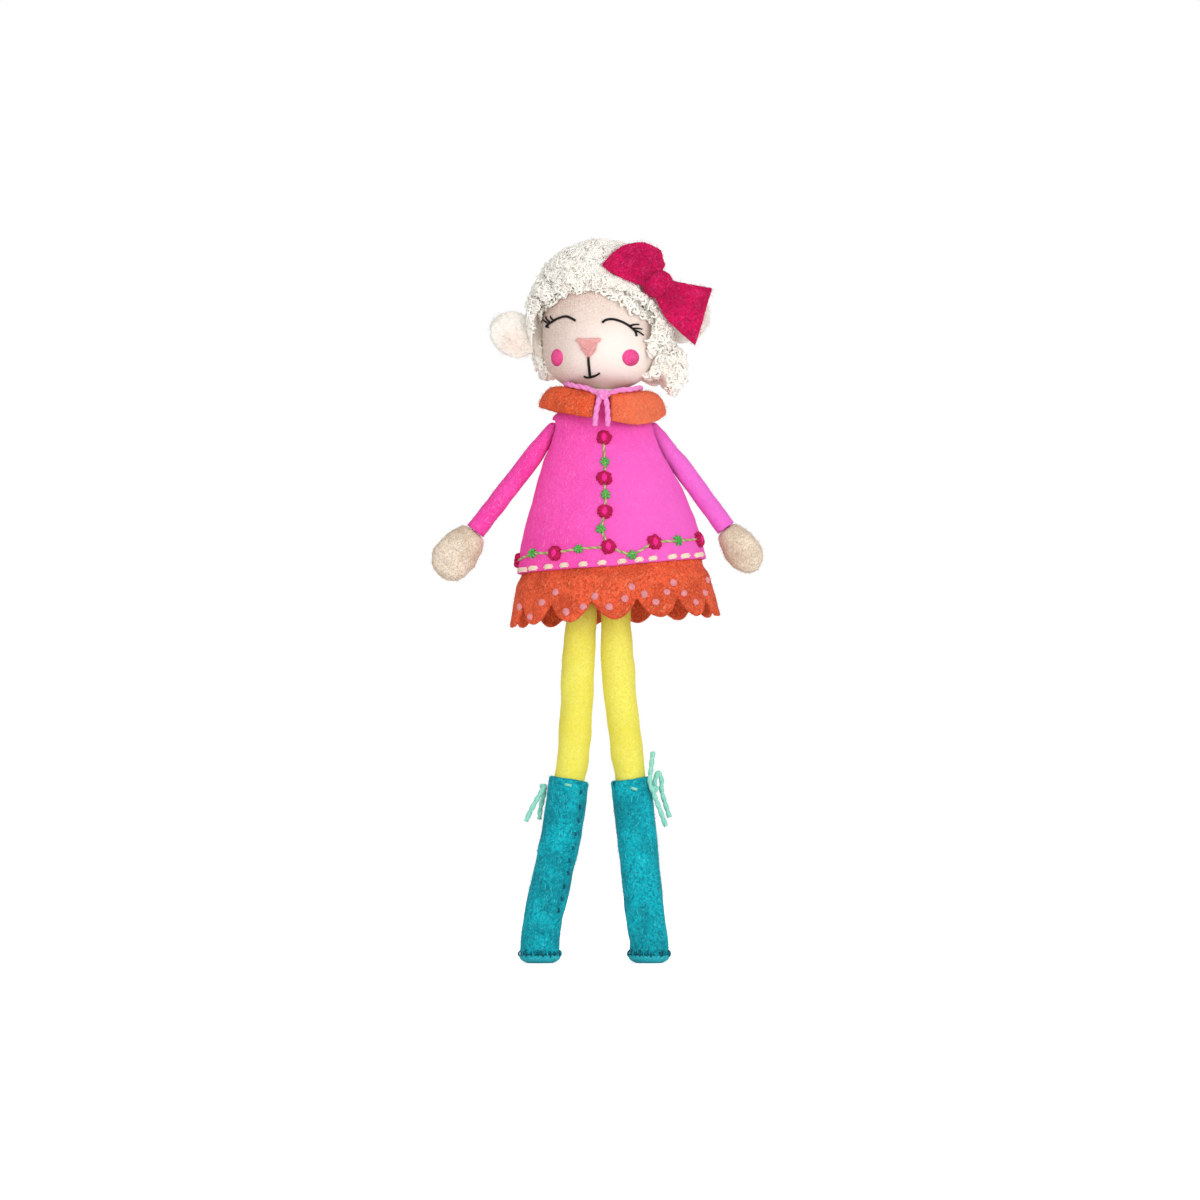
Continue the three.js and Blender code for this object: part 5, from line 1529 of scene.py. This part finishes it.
def embroider(coat, hem):
    tree = surface_of(coat)
    rng = random.Random(23)
    for number, (px, py) in enumerate(FLOWERS, 1):
        sew_flower(tree, number, px, py, rng)
    sew_leaves(tree, rng)
    sew_vine(tree)
    sew_running(tree)
    sew_knots(surface_of(hem), rng)


# Floor and sky
FLOOR_SIZE, FLOOR_GLOW, SKY_STRENGTH = 30, 0.47, 0.6


def seen_white(tree):
    """One for rays that show floor or sky to the camera, straight, mirrored or through glass."""
    path = tree.nodes.new("ShaderNodeLightPath").outputs
    return largest(tree, path["Is Camera Ray"], path["Is Glossy Ray"], path["Is Transmission Ray"])


def make_floor():
    bm = bmesh.new()
    bmesh.ops.create_grid(bm, x_segments=1, y_segments=1, size=FLOOR_SIZE)
    mesh = mesh_of(bm, "floor")
    floor = bpy.data.objects.new("floor", mesh)
    scene.collection.objects.link(floor)
    material = bpy.data.materials.new("white floor")
    material.use_nodes = True
    tree = material.node_tree
    tree.nodes.clear()
    place = tree.nodes.new("ShaderNodeTexCoord").outputs["Object"]
    grain = add_node(tree, "ShaderNodeTexNoise", {"Vector": place, "Scale": 40})
    pale = add_node(tree, "ShaderNodeMapRange", {"Value": grain.outputs[0], "To Min": 0.88, "To Max": 0.92})
    matt = add_node(tree, "ShaderNodeBsdfDiffuse", {"Color": pale.outputs[0]})
    bright = maths(tree, "MULTIPLY", seen_white(tree), FLOOR_GLOW)
    glow = add_node(tree, "ShaderNodeEmission", {"Strength": bright})
    both = add_node(tree, "ShaderNodeAddShader", {0: matt.outputs[0], 1: glow.outputs[0]})
    add_node(tree, "ShaderNodeOutputMaterial", {"Surface": both.outputs[0]})
    mesh.materials.append(material)


def make_sky():
    world = bpy.data.worlds.new("studio")
    scene.world = world
    world.use_nodes = True
    tree = world.node_tree
    tree.nodes.clear()
    sky = add_node(tree, "ShaderNodeBackground", {"Color": (1, 1, 1, 1), "Strength": SKY_STRENGTH})
    white = add_node(tree, "ShaderNodeBackground", {"Color": (1, 1, 1, 1), "Strength": 1})
    mixed = add_node(tree, "ShaderNodeMixShader", {
        0: seen_white(tree), 1: sky.outputs[0], 2: white.outputs[0]})
    add_node(tree, "ShaderNodeOutputWorld", {"Surface": mixed.outputs[0]})


scene.view_settings.view_transform = "Standard"
make_floor()
make_sky()
make_lights()
head = make_head()
make_features(head)
ears = [make_ear("ear_right", -1, -3, 3), make_ear("ear_left", 1, 4, 4)]
bow = make_bow()
make_wig(head, bow, ears)
make_torso()
coat = make_coat()
hem = make_hem()
make_collar()
make_tie()
make_arm("right")
make_arm("left")
make_leg("right")
make_leg("left")
embroider(coat["front"], hem["front"])
